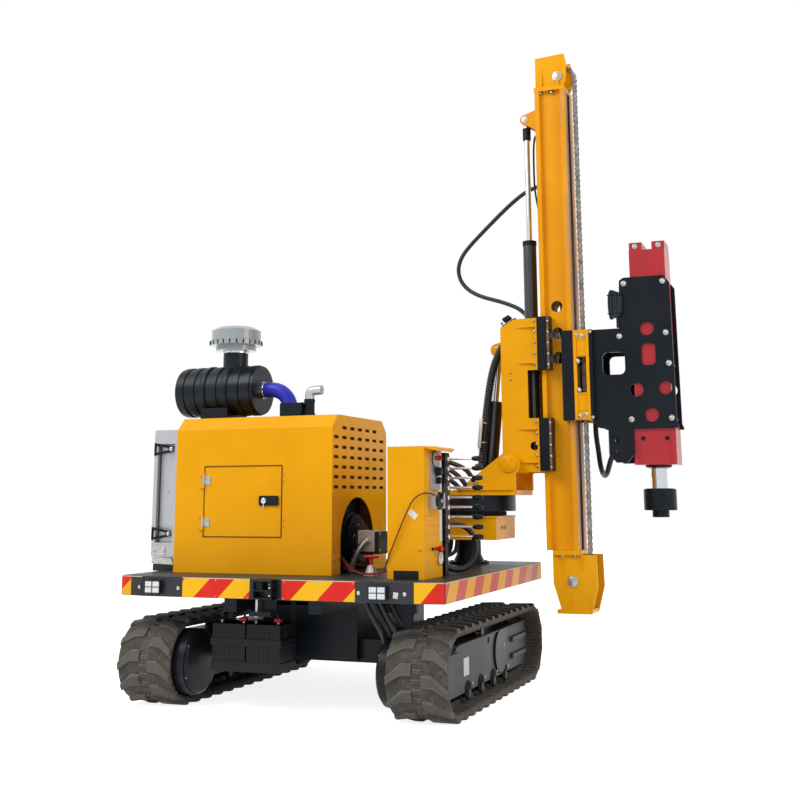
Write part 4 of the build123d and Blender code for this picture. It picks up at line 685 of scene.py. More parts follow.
board_sheet = surface("board_sheet", board_tint, (196, 190, 180), 0.36, edge=unworn, dust=0.5,
                      bare_metal=0.0, grain=0.1, gloss=0.12)
dress(board_sheet, "warning_boards")
bm = bmesh.new()
for left, right in ((-653, -157), (71, 576)):
    for x in (left + 14, (left + right) / 2, right - 14):
        for z in (732, 834):
            turned(bm, (x, -3.5, z), to_rear, ((5, 0), (4, 1.6)), 10)
finished("board_rivets", bm, "chassis", zinc)

# Rear lamps: black plastic boxes on the skirt, with four pale windows between bars of the same plastic and
# two rows of white diodes in each window.
lamp_plastic = surface("lamp_plastic", ((24, 25, 28), (32, 33, 36)), (80, 80, 82), 0.3, edge=unworn, dust=0.3)
lamp_window = surface("lamp_window", ((226, 230, 234), (206, 212, 218)), (240, 240, 240), 0.16, edge=unworn,
                      dust=0.2, bare_metal=0.2, metal=0.2, coat=1.0)
diode = surface("diode", ((252, 250, 238), (255, 255, 246)), (255, 255, 255), 0.3, edge=unworn, dust=0.0)
lamp_z = 783
lamp_bars = ((0, 40, 60, 3), (0, -40, 60, 3), (0, 0, 60, 2), (-57, 0, 3, 43), (57, 0, 3, 43), (0, 0, 3, 43))
bm, glass, lights = bmesh.new(), bmesh.new(), bmesh.new()
for lamp_x in (-868, 733):
    plate(bm, oval(lamp_x, lamp_z, 60, 43, 8), 0, -26, "Y")
    for a, b, half_a, half_b in lamp_bars:
        plate(bm, oval(lamp_x + a, lamp_z + b, half_a, half_b, 2), -24, -11, "Y")
    for dx in (-28, 28):
        for dz in (-19, 19):
            plate(glass, oval(lamp_x + dx, lamp_z + dz, 26, 18, 3), -24, -9, "Y")
            for i in (-1, 0, 1):
                for j in (-0.5, 0.5):
                    turned(lights, (lamp_x + dx + i * 16, -32, lamp_z + dz + j * 14), to_rear,
                           ((5, 0), (4.6, 2), (2.5, 3.6)), 10)
lamps = finished("lamp_boxes", bm, "chassis", lamp_plastic, bevel=1.5)
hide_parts("rear_lamps")
finished("lamp_windows", glass, "chassis", lamp_window, bevel=2)
finished("lamp_diodes", lights, "chassis", diode)

# Batteries: two ribbed black plastic cases in a tray under the deck, with bright posts, red caps and cables
# that go up to the deck. Four sleeved hoses and a hanger plate hang beside them.
battery_y, battery_top, case_rear, case_front = 250, 545, 194, 406
battery_plastic = surface("battery_plastic", ((18, 20, 23), (26, 28, 31)), (70, 70, 72), 0.42,
                          edge=(0.002, 0.2), dust=0.12, bare_metal=0.0, gloss=0.16)
red_plastic = surface("red_plastic", ((196, 30, 26), (180, 26, 24)), (190, 90, 80), 0.34, edge=unworn,
                      dust=0.3, bare_metal=0.0)
dress(battery_plastic, "batteries")
bm, posts, caps = bmesh.new(), bmesh.new(), bmesh.new()
for left in (-534, -279):
    block(bm, (left - 1, left + 244), (case_rear, case_front), (battery_top - 26, battery_top))
    for i in range(7):
        block(bm, (left + 12 + i * 34, left + 26 + i * 34), (193, 198), (312, 500))
    for x in (left + 40, left + 203):
        turned(posts, (x, battery_y, battery_top), upwards, ((9, 0), (8, 18)), 12)
        bolt(posts, (x, battery_y, battery_top + 11), upwards, 12)
    plate(caps, oval(left + 203, battery_y, 24, 18, 5), battery_top + 11, 26, "Z")
block(bm, (-545, -25), (case_rear - 7, case_rear - 2), (405, 452))
block(bm, (-29, -24), (case_rear - 7, case_front + 6), (405, 452))
block(bm, (-36, -22), (250, 300), (470, 546))
finished("battery_lids", bm, "chassis", battery_plastic, bevel=3)
finished("battery_posts", posts, "chassis", zinc)
finished("battery_caps", caps, "chassis", red_plastic, bevel=3)


def pipe(name, body, radius, route, material, sides=12, pitch=0.02):
    """A bent pipe or a bound cable through these points, both its ends held by fittings."""
    bm = bmesh.new()
    sheath(bm, centre_line(route), pitch, lambda number: radius / 1000, sides, Vector((0.31, 0.9, 0.27)))
    return finished(name, bm, body, material)


for number, (x, dx) in enumerate(((-331, 60), (-494, 30), (-76, -40)), 1):
    pipe(f"battery_cable_{number}", "chassis", 8,
         ((x, battery_y, 580), (x + dx * 0.2, 252, 622), (x + dx, 262, 640), (x + dx * 1.4, 280, 690),
          (x + dx * 1.4, 290, 843)), hose_rubber)
belly_hoses = ((700, 150, 17), (742, 190, 15), (790, 170, 17), (830, 240, 14))
for number, (x, y, radius) in enumerate(belly_hoses, 1):
    pipe(f"belly_hose_{number}", "chassis", radius,
         ((x - 160, y, 846), (x - 150, y, 780), (x - 90, y + 20, 640), (x - 20, y + 40, 520),
          (x - 8, y + 90, 430), (x - 30, y + 150, 330)), loom_plastic)
bm = bmesh.new()
hanger_left, hanger_right = 640, 880
block(bm, (hanger_left, hanger_right), (260, 300), (640, 722))
plate(bm, ((hanger_left, 722), (hanger_right, 722), (840, 520), (800, 520)), 262, 14, "Y")
finished("skirt_hanger", bm, "chassis", frame_black, bevel=2)

# Engine hood and its door: yellow painted sheet steel, folded and riveted. A brown sheet behind its vent
# slots is painted shade of the hood's inside, and brown strips round the door are painted shade of its seam.
# The door hangs on two zinc hinges and shuts with a keyed latch.
rig_yellow = surface("rig_yellow", ((243, 170, 0), (234, 161, 0)), (168, 120, 60), 0.3, edge=(0.003, 0.2),
                     dust=0.06, coat=0.03, gloss=0.14, earth=(176, 138, 60))
black_plastic = surface("black_plastic", ((12, 19, 25), (18, 26, 32)), (84, 86, 88), 0.34, edge=(0.002, 0.2),
                        dust=0.12, bare_metal=0.0, gloss=0.2)
chrome = surface("chrome", ((214, 216, 220), (200, 203, 208)), (230, 232, 234), 0.12, edge=unworn, dust=0.15,
                 metal=1.0, bare_metal=1.0, cloud=9.0, grain=0.1)
# Dark brown: painted shade inside the hood and in the door's seam.
brown_slot_shade = surface("brown_slot_shade", ((104, 62, 12), (84, 48, 8)), (120, 80, 30), 0.6, edge=unworn, dust=0.2,
                     bare_metal=0.0, gloss=0.2)
dress(rig_yellow, "hood", "hood_door")
hood_rear, latch_x, latch_z = 372, -262, 1337
door_left, door_right, door_low, door_high = -733, -131, 1098, 1570
# A brown sheet behind the vent slots, painted shade of the hood's inside, and four small brown domes beside
# the door's right edge.
slot_shade_mesh = bmesh.new()
for z in (1167, 1205, 1467, 1508):
    turned(slot_shade_mesh, (-114, hood_rear + 0.5, z), to_rear, ((4, 0), (4, 1.4), (2, 2.2)), 12)
block(slot_shade_mesh, (226, 231), (400, 1290), (1395, 1860))
finished("hood_slot_shade", slot_shade_mesh, "chassis", brown_slot_shade)
bm, lock, leaves = bmesh.new(), bmesh.new(), bmesh.new()
plate(bm, oval(-225, latch_z, 76, 34, 12), 366, -5, "Y")
plate(bm, oval(-196, latch_z, 34, 22, 8), 361, -3, "Y")
plate(lock, oval(latch_x, latch_z - 31, 3, 17, 2), 360, -2, "Y")
turned(lock, (latch_x, 362, latch_z), to_rear, ((18, 0), (18, 5), (14, 7), (11, 7), (11, 4)), 24)
finished("latch_plate", bm, "door", black_plastic, bevel=1.5)
finished("latch_lock", lock, "door", chrome)
for z in (1192, 1476):
    pin(leaves, (-737, 364, z - 34), upwards, 9.5, 68, 16)
    plate(leaves, oval(-709, z, 24, 30, 5), hood_rear - 1, -4, "Y")
    for dz in (-18, 18):
        bolt(leaves, (-712, 367, z + dz), to_rear, 7)
finished("hinge_leaves", leaves, "door", zinc, bevel=1)
# Brown strips round the door: painted shade of its seam.
bm = bmesh.new()
for z in ((door_low - 5.5, door_low), (door_high, door_high + 5.5)):
    block(bm, (door_left, door_right), (368, 373), z)
for x in ((door_left - 3, door_left + 2), (door_right - 2, door_right + 3)):
    block(bm, x, (368, 373), (door_low - 5, door_high + 5))
finished("door_seam_shade", bm, "door", brown_slot_shade)

# Engine and pump: a cast block with round flanges, seen through the hood's arch, and a black gear pump on
# its end with a pale cast block, a foil-wrapped pipe and two thin leads that lie on the deck.
pump_y, pump_z = 802, 1050
engine_iron = surface("engine_iron", ((64, 66, 68), (52, 54, 56)), (120, 118, 112), 0.6, metal=0.3, dust=0.5,
                      cloud=5.0, grain=0.8)
bare_alloy = surface("bare_alloy", ((178, 180, 183), (172, 174, 177)), (205, 206, 208), 0.42, metal=0.75,
                     bare_metal=0.9, edge=(0.002, 0.3), dust=0.5, cloud=6.0, grain=0.5)
dress(engine_iron, "engine")
dress(frame_black, "pump")
bm, heads, rims = bmesh.new(), bmesh.new(), bmesh.new()
block(bm, (287, 410), (pump_y - 89, pump_y + 89), (992, 1129))
block(bm, (284, 300), (pump_y - 93, pump_y + 93), (988, 1133))
for radius, x in ((200, 150), (166, 176), (150, 214)):
    turned(rims, (x, 830, 1090), to_right, ((radius, 0), (radius, 18), (radius - 10, 22)), 44)
pin(rims, (258, pump_y, pump_z), to_right, 138, 14, 40)
for y, z in ringed(8, 128, 0.5):
    bolt(heads, (272, pump_y + y, pump_z + z), to_right, 9)
for y in (pump_y - 69, pump_y + 69):
    for z in (1002, 1112):
        bolt(heads, (440, y, z), to_right, 11)
turned(heads, (366, 714, 1070), to_rear, ((24, 0), (24, 12), (18, 13), (18, 30)), 20)
pin(heads, (330, 714, 1040), to_rear, 13, 8, 14)
pale_cast = surface("pale_cast", ((210, 200, 188), (190, 182, 172)), (224, 218, 210), 0.5, edge=(0.003, 0.4),
                    metal=0.15, dust=0.1)
finished("pump_block", bm, "chassis", pale_cast, bevel=3)
finished("pump_rims", rims, "chassis", frame_black, bevel=1.5)
finished("pump_bolts", heads, "chassis", zinc)
foil = surface("foil", ((206, 204, 198), (170, 168, 162)), (236, 236, 232), 0.3, metal=0.8, bare_metal=0.9,
               edge=(0.003, 0.6), dust=0.3, cloud=30.0, grain=1.0)
pipe("pump_pipe", "chassis", 19, ((366, 700, 1070), (362, 672, 1064), (330, 660, 1030), (296, 662, 972),
                                  (262, 668, 912), (250, 680, 860)), foil, 18, 0.012)
for number, rise, material in ((1, 0, hose_rubber), (2, -12, red_plastic)):
    pipe(f"pump_cable_{number}", "chassis", 5,
         ((200, 560, 985 + rise), (250, 520, 975 + rise), (330, 470, 900 + rise), (430, 420, 869 + rise / 3),
          (520, 380, 868 + rise / 3), (600, 330, 876 + rise / 3), (668, 300, 893), (730, 300, 906)),
         material, 8)

# Battery switch: a red T-handle on a dull alloy cone that is bolted to the deck beside the cabinet.
switch_x, switch_y = 495, 450
bm, red = bmesh.new(), bmesh.new()
turned(bm, (switch_x, switch_y, deck_top - 1), upwards, ((50, 0), (50, 8), (44, 14), (24, 66), (18, 70)), 8)
turned(red, (switch_x, switch_y, deck_top + 67), upwards, ((13, 0), (10, 10), (10, 44), (14, 48)), 16)
turned(red, (switch_x - 55, switch_y, deck_top + 121), to_right,
       ((4, 0), (8, 5), (11, 40), (12, 55), (11, 70), (8, 105), (4, 110)), 14)
finished("switch_cone", bm, "chassis", foil, bevel=1.5)
finished("switch_handle", red, "chassis", red_plastic)

# Radiator: a finned alloy core between two tanks, on rubber blocks and a folded foot plate, with two black
# tapered brackets bolted to its rear.
dress(bare_alloy, "radiator")
core_left, core_right, core_low, core_high = -1151, -1041, 1042, 1748
tank_left, tank_right = -1190, -1002
bm, blocks, feet = bmesh.new(), bmesh.new(), bmesh.new()
for z in range(1050, 1745, 14):
    block(bm, (core_left - 5, core_right + 5), (486, 1224), (z, z + 3))
for y in (478, 1226):
    block(bm, (core_left - 9, core_right + 9), (y, y + 6), (core_low, core_high))
for z in (core_low, core_high):
    block(bm, (tank_left, tank_right), (436, 441), (z - 8, z + 6))
finished("radiator_fins", bm, "chassis", bare_alloy, bevel=0.6)
for y in (520, 1190):
    block(blocks, (tank_left, tank_right), (y - 64, y + 64), (deck_top + 1, 900))
plate(feet, ((-1196, 946), (-1040, 946), (-1012, 896), (-1196, 902)), 450, 40, "Y")
plate(feet, oval(-1128, 990, 50, 30, 5), 440, -4, "Y")
for x in (-1168, -1090):
    bolt(feet, (x, 436, 990), to_rear, 9)
for z in (1120, 1400, 1680):
    bolt(feet, (-1096, 478, z), to_rear, 9)
brackets, heads = bmesh.new(), bmesh.new()
for z in (1703, 1110):
    outer = ((-1194, z - 46), (-1036, z - 17), (-1036, z + 17), (-1194, z + 46))
    inner = ((-1182, z - 26), (-1076, z - 7), (-1076, z + 7), (-1182, z + 26))
    frame_rings = (440, outer), (440, inner), (431, inner), (431, outer)
    skin(brackets, [[(x, y, z) for x, z in ring] for y, ring in frame_rings], closed=True)
    turned(heads, (-1052, 431, z), to_rear, ((15, 0), (15, 3), (12, 4), (11, 9), (6, 12)), 16)
finished("radiator_brackets", brackets, "chassis", frame_black, bevel=1)
finished("radiator_bolts", heads, "chassis", zinc)
finished("radiator_blocks", blocks, "chassis", hose_rubber, bevel=6)
finished("radiator_foot", feet, "chassis", zinc, bevel=1)

# Air cleaner: a ribbed black plastic drum in a strap saddle, with a clear spinning bowl on its neck and a
# chrome band at each joint.
drum_y, drum_z, bowl_x = 800, 2136, -752
bowl_plastic = surface("bowl_plastic", ((158, 166, 170), (146, 154, 158)), (206, 210, 212), 0.2, edge=unworn,
                       dust=0.3, bare_metal=0.0, coat=0.6)
dress(black_plastic, "air_cleaner")
dress(bowl_plastic, "precleaner")
bm, bands = bmesh.new(), bmesh.new()
for x in (-930, -750):
    turned(bm, (x - 16, drum_y, drum_z), to_right, ((189.5, 0), (190.5, 3), (190.5, 29), (189.5, 32)), 64)
turned(bands, (bowl_x, drum_y, 2416), upwards, ((96, 0), (98, 2), (98, 18), (96, 20)), 40)
pin(bands, (-524, drum_y, drum_z), to_right, 62, 14, 32)
block(bands, (-768, -742), (690, 706), (2418, 2434))
turned(bm, (bowl_x, drum_y, 2612), upwards, ((14, 0), (14, 1.5), (6, 2)), 20)
for x, y in ringed(24, 193):
    block(bm, (bowl_x + x - 4, bowl_x + x + 4), (drum_y + y - 4, drum_y + y + 4), (2478, 2509))
for y, z in ringed(7, 120):
    turned(bm, (-1159, drum_y + y, drum_z + z), to_left, ((8, 0), (7, 1)), 10)
finished("cleaner_trim", bm, "chassis", black_plastic, bevel=1)
finished("cleaner_bands", bands, "chassis", chrome)

# Intake hose: moulded blue silicone over the ports, with a worm clip at both ends. The exhaust beside it is
# a black pipe with a bright elbow, which blows to the right.
blue_silicone = surface("blue_silicone", ((40, 46, 192), (34, 40, 172)), (80, 90, 200), 0.36, edge=unworn,
                        dust=0.3, bare_metal=0.0, cloud=6.0)
dress(blue_silicone, "intake_hose")
dress(frame_black, "exhaust")
clip_band = ((57.5, 0), (58.5, 2), (58.5, 12), (57.5, 14))
bm = bmesh.new()
turned(bm, (-506, drum_y, drum_z), to_right, clip_band, 32)
turned(bm, (-290, drum_y, 1930), upwards, clip_band, 32)
block(bm, (-508, -490), (732, 746), (2128, 2144))
finished("hose_clips", bm, "chassis", chrome)
exhaust_x, exhaust_y = -20, 560
elbow = [(exhaust_x + x, exhaust_y, z) for x, z in ((0, 2025), (0, 2062), (8, 2088), (32, 2096), (94, 2096))]
pipe("exhaust_elbow", "chassis", 33, elbow, bare_alloy, 24, 0.008)
bm = bmesh.new()
turned(bm, (exhaust_x, exhaust_y, 1916), upwards, ((58, 0), (58, 8), (40, 10), (40, 22)), 24)
pin(bm, (exhaust_x, exhaust_y, 2012), upwards, 39, 20, 24)
for x in (-205, -75):
    bolt(bm, (x, exhaust_y, 2010), upwards, 10)
finished("exhaust_collars", bm, "chassis", frame_black, bevel=1.5)

# Control cabinet: folded yellow sheet on two feet. Its right side has a dull alloy panel with two knobs, a
# throttle disc with its lever, red keys and a round gauge, all without lettering. A black block under it is
# painted shade of the gap beneath it.
dress(rig_yellow, "control_cabinet")
dress(bare_alloy, "instruments")
cabinet_right, panel_right, gauge_y, gauge_z, throttle_y, throttle_z = 965, 974, 473, 969, 306, 1333
# White for the gauge's face and a label, and for a painted highlight on the cabinet's side.
white_and_highlight = surface("white_and_highlight", ((236, 236, 230), (226, 226, 220)), (190, 190, 186), 0.3, edge=unworn,
                     dust=0.2, bare_metal=0.0)
bm, black, red, pale, shiny = (bmesh.new() for _ in range(5))
for z in (1116, 1176, 1238):
    block(bm, (cabinet_right - 1, cabinet_right + 4), (200, 476), (z, z + 6))
plate(bm, ((920, 1678), (1046, 1672), (1062, 1662), (1046, 1646), (965, 1664), (920, 1670)), 196, 320, "Y")
# A black block on the deck under the cabinet: painted shade of the gap beneath it.
block(black, (712, 930), (196, 300), (deck_top, 907))
turned(black, (panel_right, 392, 1520), to_right, ((34, 0), (34, 6), (27, 10), (25, 40), (18, 44)), 28)
turned(black, (panel_right, 410, 1462), to_right, ((22, 0), (22, 26), (16, 30)), 24)
turned(black, (1018, throttle_y, throttle_z), to_right, ((56, 0), (56, 16), (50, 20), (44, 20), (44, 16)), 40)
plate(black, ((296, 1320), (316, 1320), (388, 1452), (370, 1462)), 1034, 9)
turned(black, (1030, 380, 1456), to_right, ((15, 0), (17, 8), (15, 22), (8, 26)), 18)
turned(red, (panel_right, 395, 1606), to_right, ((14, 0), (14, 12), (8, 18)), 14)
block(red, (985, 1014), (390, 400), (1590, 1622))
turned(shiny, (1036, throttle_y, throttle_z), to_right, ((14, 0), (14, 8), (8, 12)), 20)
for rise in (39, -39):
    turned(shiny, (1025, throttle_y - 38, throttle_z + rise), to_right, ((9, 0), (8, 4)), 12)
turned(black, (cabinet_right, 330, 1032), to_right, ((10, -1), (10, 12)), 14)
turned(red, (970, 382, 1032), to_right, ((10, 0), (12, 14), (22, 30), (22, 44), (12, 52)), 24)
turned(shiny, (cabinet_right, gauge_y, gauge_z), to_right, ((46, -1), (46, 12), (38, 14), (38, 10)), 36)
pin(pale, (cabinet_right, gauge_y, gauge_z), to_right, 37, 11, 36)
block(black, (975, 978), (gauge_y - 7, gauge_y - 1), (gauge_z - 3, gauge_z + 31))
# A tall white strip down the side, close to its front fold: a painted highlight.
plate(pale, oval(500, 1362, 24, 286, 3), cabinet_right, 1.6)
tilted = [(889 + a * 0.77 + b * 0.64, 1250 - a * 0.64 + b * 0.77) for a, b in oval(0, 0, 30, 19, 3)]
plate(pale, tilted, 190, -1, "Y")
for y in (300, 460):
    for z in (1415, 1625):
        bolt(shiny, (975, y, z), to_right, 6)
turned(bm, (930, 190.5, 1036), to_rear, ((12, 0), (12, 4), (7, 10)), 16)
finished("cabinet_folds", bm, "chassis", rig_yellow, bevel=1)
finished("cabinet_controls_and_shade", black, "chassis", black_plastic, bevel=1.5)
finished("cabinet_reds", red, "chassis", red_plastic, bevel=1)
finished("cabinet_dials_and_highlight", pale, "chassis", white_and_highlight)
finished("cabinet_rims", shiny, "chassis", zinc)
loom_brown = surface("loom_brown", ((112, 40, 18), (92, 34, 16)), (130, 80, 60), 0.5, edge=unworn, dust=0.5,
                     bare_metal=0.0, cloud=9.0)
pipe("cabinet_cable", "chassis", 4.5, (
    (690, 200, 900), (715, 178, 962), (786, 172, 1116), (852, 172, 1263), (897, 172, 1346), (955, 174, 1381),
    (990, 196, 1384), (1004, 262, 1372), (1000, 300, 1360)), loom_brown, 10)
pipe("panel_cable", "chassis", 5, (
    (974, 400, 1642), (984, 380, 1650), (986, 310, 1650), (984, 286, 1600), (986, 300, 1560),
    (992, 350, 1536), (990, 380, 1524)), hose_rubber, 10)

# Lever valve: nine cast valve sections clamped in one bank, each worked by a bright rod with a long black
# knob. Hoses leave the bank's far side.
dress(frame_black, "lever_valve")
lever_y, lever_heights = 590, [1102 + 63 * i for i in range(9)]
bm, knobs, ports = bmesh.new(), bmesh.new(), bmesh.new()
for z in lever_heights:
    turned(bm, (984, lever_y, z), to_right, ((8.5, 0), (7, 178)), 14)
    turned(bm, (984, lever_y, z), to_right, ((17, 0), (17, 10), (10, 14)), 18)
    turned(knobs, (1156, lever_y, z), to_right, ((8, 0), (14, 8), (17, 26), (17, 46), (14, 62), (7, 70)), 18)
    bolt(ports, (915, 540, z), to_rear, 13)
    turned(ports, (845, lever_y, z), to_left, ((18, 0), (18, 12), (13, 14), (13, 40)), 14)
for y in (552, 628):
    turned(bm, (925, y, 1646), upwards, ((12, 0), (12, 4), (8, 5), (8, 16)), 6)
rod_chrome = surface("rod_chrome", ((236, 222, 218), (220, 206, 202)), (240, 236, 232), 0.24, edge=unworn,
                     dust=0.2, metal=0.85, bare_metal=1.0, cloud=14.0)
finished("lever_rods", bm, "chassis", rod_chrome)
finished("lever_knobs", knobs, "chassis", black_plastic)
finished("lever_ports", ports, "chassis", zinc)
for i, z in list(enumerate(lever_heights))[::2]:
    pipe(f"lever_hose_{i + 1}", "chassis", 13,
         ((812, lever_y, z), (760, lever_y, z), (726 - 6 * i, 596, z - 20), (712 - 6 * i, 620, z - 110),
          (730 - 6 * i, 660 + 12 * i, 930), (740 - 6 * i, 680 + 16 * i, 845)), hose_rubber)

# Oil tank and turret base: yellow painted plate. The tank has a bolted lid and a filler, and the base is a
# box with a raised lip that stands on a black column and carries the black slewing races.
dress(rig_yellow, "oil_tank", "turret_base")
dress(frame_black, "lower_race", "upper_race")
turret_x, turret_y, base_top, tank_top = 690, 1950, 1215, 1415
base_left, base_right, base_rear, base_front = 385, 995, 1684, 2216
bm, column, shiny = bmesh.new(), bmesh.new(), bmesh.new()
for y in (base_rear, base_front - 6):
    block(bm, (base_left, base_right), (y, y + 6), (base_top - 16, base_top))
for x in (base_left, base_right - 5):
    block(bm, (x, x + 5), (base_rear, base_front), (base_top - 16, base_top))
plate(bm, oval(-560, 1850, 380, 230, 20), tank_top - 10, 10, "Z")
turned(column, (turret_x, turret_y, deck_top), upwards,
       ((155, 0), (155, 21), (118, 26), (96, 70), (93.5, 188.5)), 40)
pin(column, (turret_x, turret_y, 1216), upwards, 292, 30, 72)
for x, y in ringed(10, 136):
    bolt(column, (turret_x + x, turret_y + y, deck_top + 20), upwards, 12)
for x, y in ringed(64, 292):
    pin(column, (turret_x + x, turret_y + y, base_top + 4), upwards, 7, 26, 6)
for y in (1850, 1930):
    turned(column, (994, y, 1128), to_right, ((15, 0), (15, 1), (11, 1.2)), 6)
turned(shiny, (-320, 1850, tank_top - 1), upwards, ((52, 0), (52, 8), (46, 10), (46, 34), (38, 40)), 32)
for x in range(-900, -200, 130):
    for y in (1640, 2060):
        bolt(shiny, (x, y, tank_top), upwards, 11)
finished("base_lips", bm, "chassis", rig_yellow, bevel=2)
finished("base_column", column, "chassis", frame_black, bevel=1)
finished("tank_fittings", shiny, "chassis", zinc)
for number, x, y, far_x in ((1, 560, 1840, 430), (2, 600, 1800, 480), (3, 650, 1780, 520)):
    pipe(f"column_hose_{number}", "chassis", 15,
         ((x, y, 1038), (x, y, 990), (x - 10, y - 40, 930), (far_x, y - 180, 905), (far_x - 60, y - 300, 880),
          (far_x - 70, y - 330, 846)), hose_rubber)

# Turret: welded yellow plates on the turntable, with a bolted cover on each pivot and a keeper on the
# cylinder's foot pin. Two rows of bolts hold it down to its race.
dress(rig_yellow, "turret")
pivot_x, pivot_z, ear_out, table_top = 1096, 1600, 270, 1406
tilt_foot, tilt_axis = Vector((865, turret_y, 1500)), Vector((100, 0, 990)).normalized()
bm, shiny = bmesh.new(), bmesh.new()
for side in (-1, 1):
    face = turret_y + side * ear_out
    turned(bm, (pivot_x, face, pivot_z), (0, side, 0), ((64, 0), (64, 9), (61, 11)), 40)
    for x, z in ringed(4, 44, 0.5):
        bolt(bm, (pivot_x + x, face + side * 10.5, pivot_z + z), (0, side, 0), 9)
    turned(shiny, (865, turret_y + side * 62, 1500), (0, side, 0), ((25, 0), (25, 5), (22, 7)), 24)
    foot_strip = sorted((turret_y + side * 274, turret_y + side * 283))
    block(bm, (700, 1140), foot_strip, (table_top, table_top + 6))
for x in range(280, 1110, 92):
    for side in (-1, 1):
        bolt(shiny, (x, turret_y + side * (238 if x < 640 else 205), table_top), upwards, 12)
finished("pivot_covers", bm, "turret", rig_yellow, bevel=1)
finished("turret_pins", shiny, "turret", zinc)

# Turret hoses: three rubber hoses arching from glands on the turntable to fittings on the near ear, which
# feed the tilt cylinder. They stay outside the carrier's path when the mast lies down.
# The X where each hose starts, its greatest height, and the X and Z where it ends.
turret_hoses = ((270, 1652, 830, 1474), (330, 1592, 764, 1442), (392, 1526, 706, 1424))
fittings = bmesh.new()
for number, (low, top, x_end, z_end) in enumerate(turret_hoses, 1):
    pipe(f"turret_hose_{number}", "turret", 18, (
        (low, 1736, table_top), (low + 16, 1728, top - 100), (low + 110, 1698, top - 14),
        (low + 250, 1670, top), (x_end - 70, 1646, 0.6 * top + 0.4 * z_end), (x_end - 8, 1642, z_end + 28),
        (x_end, 1662, z_end), (x_end, 1680, z_end)), hose_rubber, 14)
    turned(fittings, (low, 1736, table_top - 1), upwards, ((26, 0), (26, 10), (22, 12), (21, 30)), 6)
    turned(fittings, (x_end, 1681, z_end), to_rear, ((25, 0), (25, 14), (21, 15), (21, 24)), 6)
finished("turret_fittings", fittings, "turret", zinc, bevel=1)

# Carrier: yellow side plates with gussets behind the flanges, zinc bolts through the flanges into black
# guide clamps with greased strips in them, a black cap on the sloping top, and a gland for each hose.
dress(rig_yellow, "carrier")
dress(frame_black, "mast_clamps")
mast_grease = surface("mast_grease", ((150, 104, 72), (112, 72, 46)), (196, 170, 140), 0.4, dust=0.2,
                      edge=(0.002, 0.2), metal=0.3, cloud=14.0)
flange_x, carrier_half, clamp_spans = 1313, 200, ((1548, 1936), (2310, 2711))
clamp_bolts = [foot + 83 * i for foot in (2352, 1580) for i in range(5)]
domed_head = ((15, 0), (15, 4), (13, 10), (7, 15), (1, 17))
bm, shiny, black, slots = (bmesh.new() for _ in range(4))
for side in (-1, 1):
    wall = turret_y + side * carrier_half
    gusset = [(x, wall + side * out) for x, out in ((flange_x, 0), (flange_x, 24), (1285, 24), (1165, 3),
                                                    (1165, 0))]
    for z in (2641, 2363, 1861, 1614):
        plate(bm, gusset, z - 8, 16, "Z")
    for z in clamp_bolts:
        turned(shiny, (flange_x, wall + side * 14, z), to_left, domed_head, 16)
        turned(shiny, (1411, wall + side, z - 8), (0, side, 0), ((9, 0), (9, 5), (6, 8), (1, 9)), 12)
    for low, high in clamp_spans:
        for x in (1394, 1420):
            block(black, (x, x + 5), sorted((wall, wall + side * 7)), (low, high))
        block(slots, (1399, 1420), sorted((wall, wall + side * 1.2)), (low, high))
    for z in (2232, 2286):
        turned(black, (1110, wall - side * 0.5, z), (0, side, 0), ((6, 0), (6, 1), (4, 1)), 12)
    turned(shiny, (965, turret_y + side * 62, 2490), (0, side, 0), ((27, 0), (27, 5), (24, 7)), 24)
plate(black, ((1032, 2650), (1142, 2709), (1131, 2730), (1022, 2671)), turret_y - 120, 240, "Y")
plate(black, ((1060, 2690), (1112, 2718), (1098, 2744), (1046, 2716)), turret_y - 190, 60, "Y")
for y in (1780, 2040):
    for x, z in ((1040, 2682), (1112, 2721)):
        pin(black, (x, y + 15, z - 4), (-0.47, 0, 0.88), 9, 14, 6)
plate(bm, ((1240, 1936), (1325, 1936), (1325, 2310), (1240, 2310)), turret_y + 186, 8, "Y")
finished("clamp_slots", slots, "carrier", mast_grease)
finished("carrier_gussets", bm, "carrier", rig_yellow, bevel=1)
finished("carrier_bolts", shiny, "carrier", zinc)
finished("carrier_cap", black, "carrier", frame_black, bevel=1.5)
bm = bmesh.new()
turned(bm, (1086, 1836, 2580), (0.66, 0, 0.75), ((40, -6), (44, -2), (44, 18), (38, 22), (38, 40)), 28)
block(bm, (1100, 1136), (1800, 1872), (2560, 2640))
turned(bm, (1200, 2080, 2600), upwards, ((26, 0), (26, 10), (20, 14), (20, 26)), 24)
finished("hose_glands", bm, "carrier", black_plastic, bevel=1)

# Cylinders: black barrels with stepped glands, and hard chrome rods. The tilt cylinder has a pale steel
# valve clipped to its hose sleeve, and the lift cylinder's rod ends in a black sleeve under its eye.
barrel_black = surface("barrel_black", ((14, 20, 26), (20, 26, 33)), (92, 94, 96), 0.26, edge=(0.003, 0.2),
                       dust=0.1, coat=0.3, gloss=0.6)
pale_steel = surface("pale_steel", ((196, 190, 180), (180, 174, 164)), (214, 210, 204), 0.36, metal=0.6,
                     bare_metal=0.8, edge=(0.002, 0.2), dust=0.2)
dress(barrel_black, "lift_barrel", "tilt_barrel")
dress(chrome, "lift_rod", "tilt_rod")
lift_x, tilt_hose_y = 1235, 1836


def hoop(bm, foot, along_axis, inner, outer, length):
    """A ring round an axis, open in its middle."""
    turned(bm, foot, along_axis, ((inner, 0), (outer, 0), (outer, length), (inner, length)), 40, closed=True)


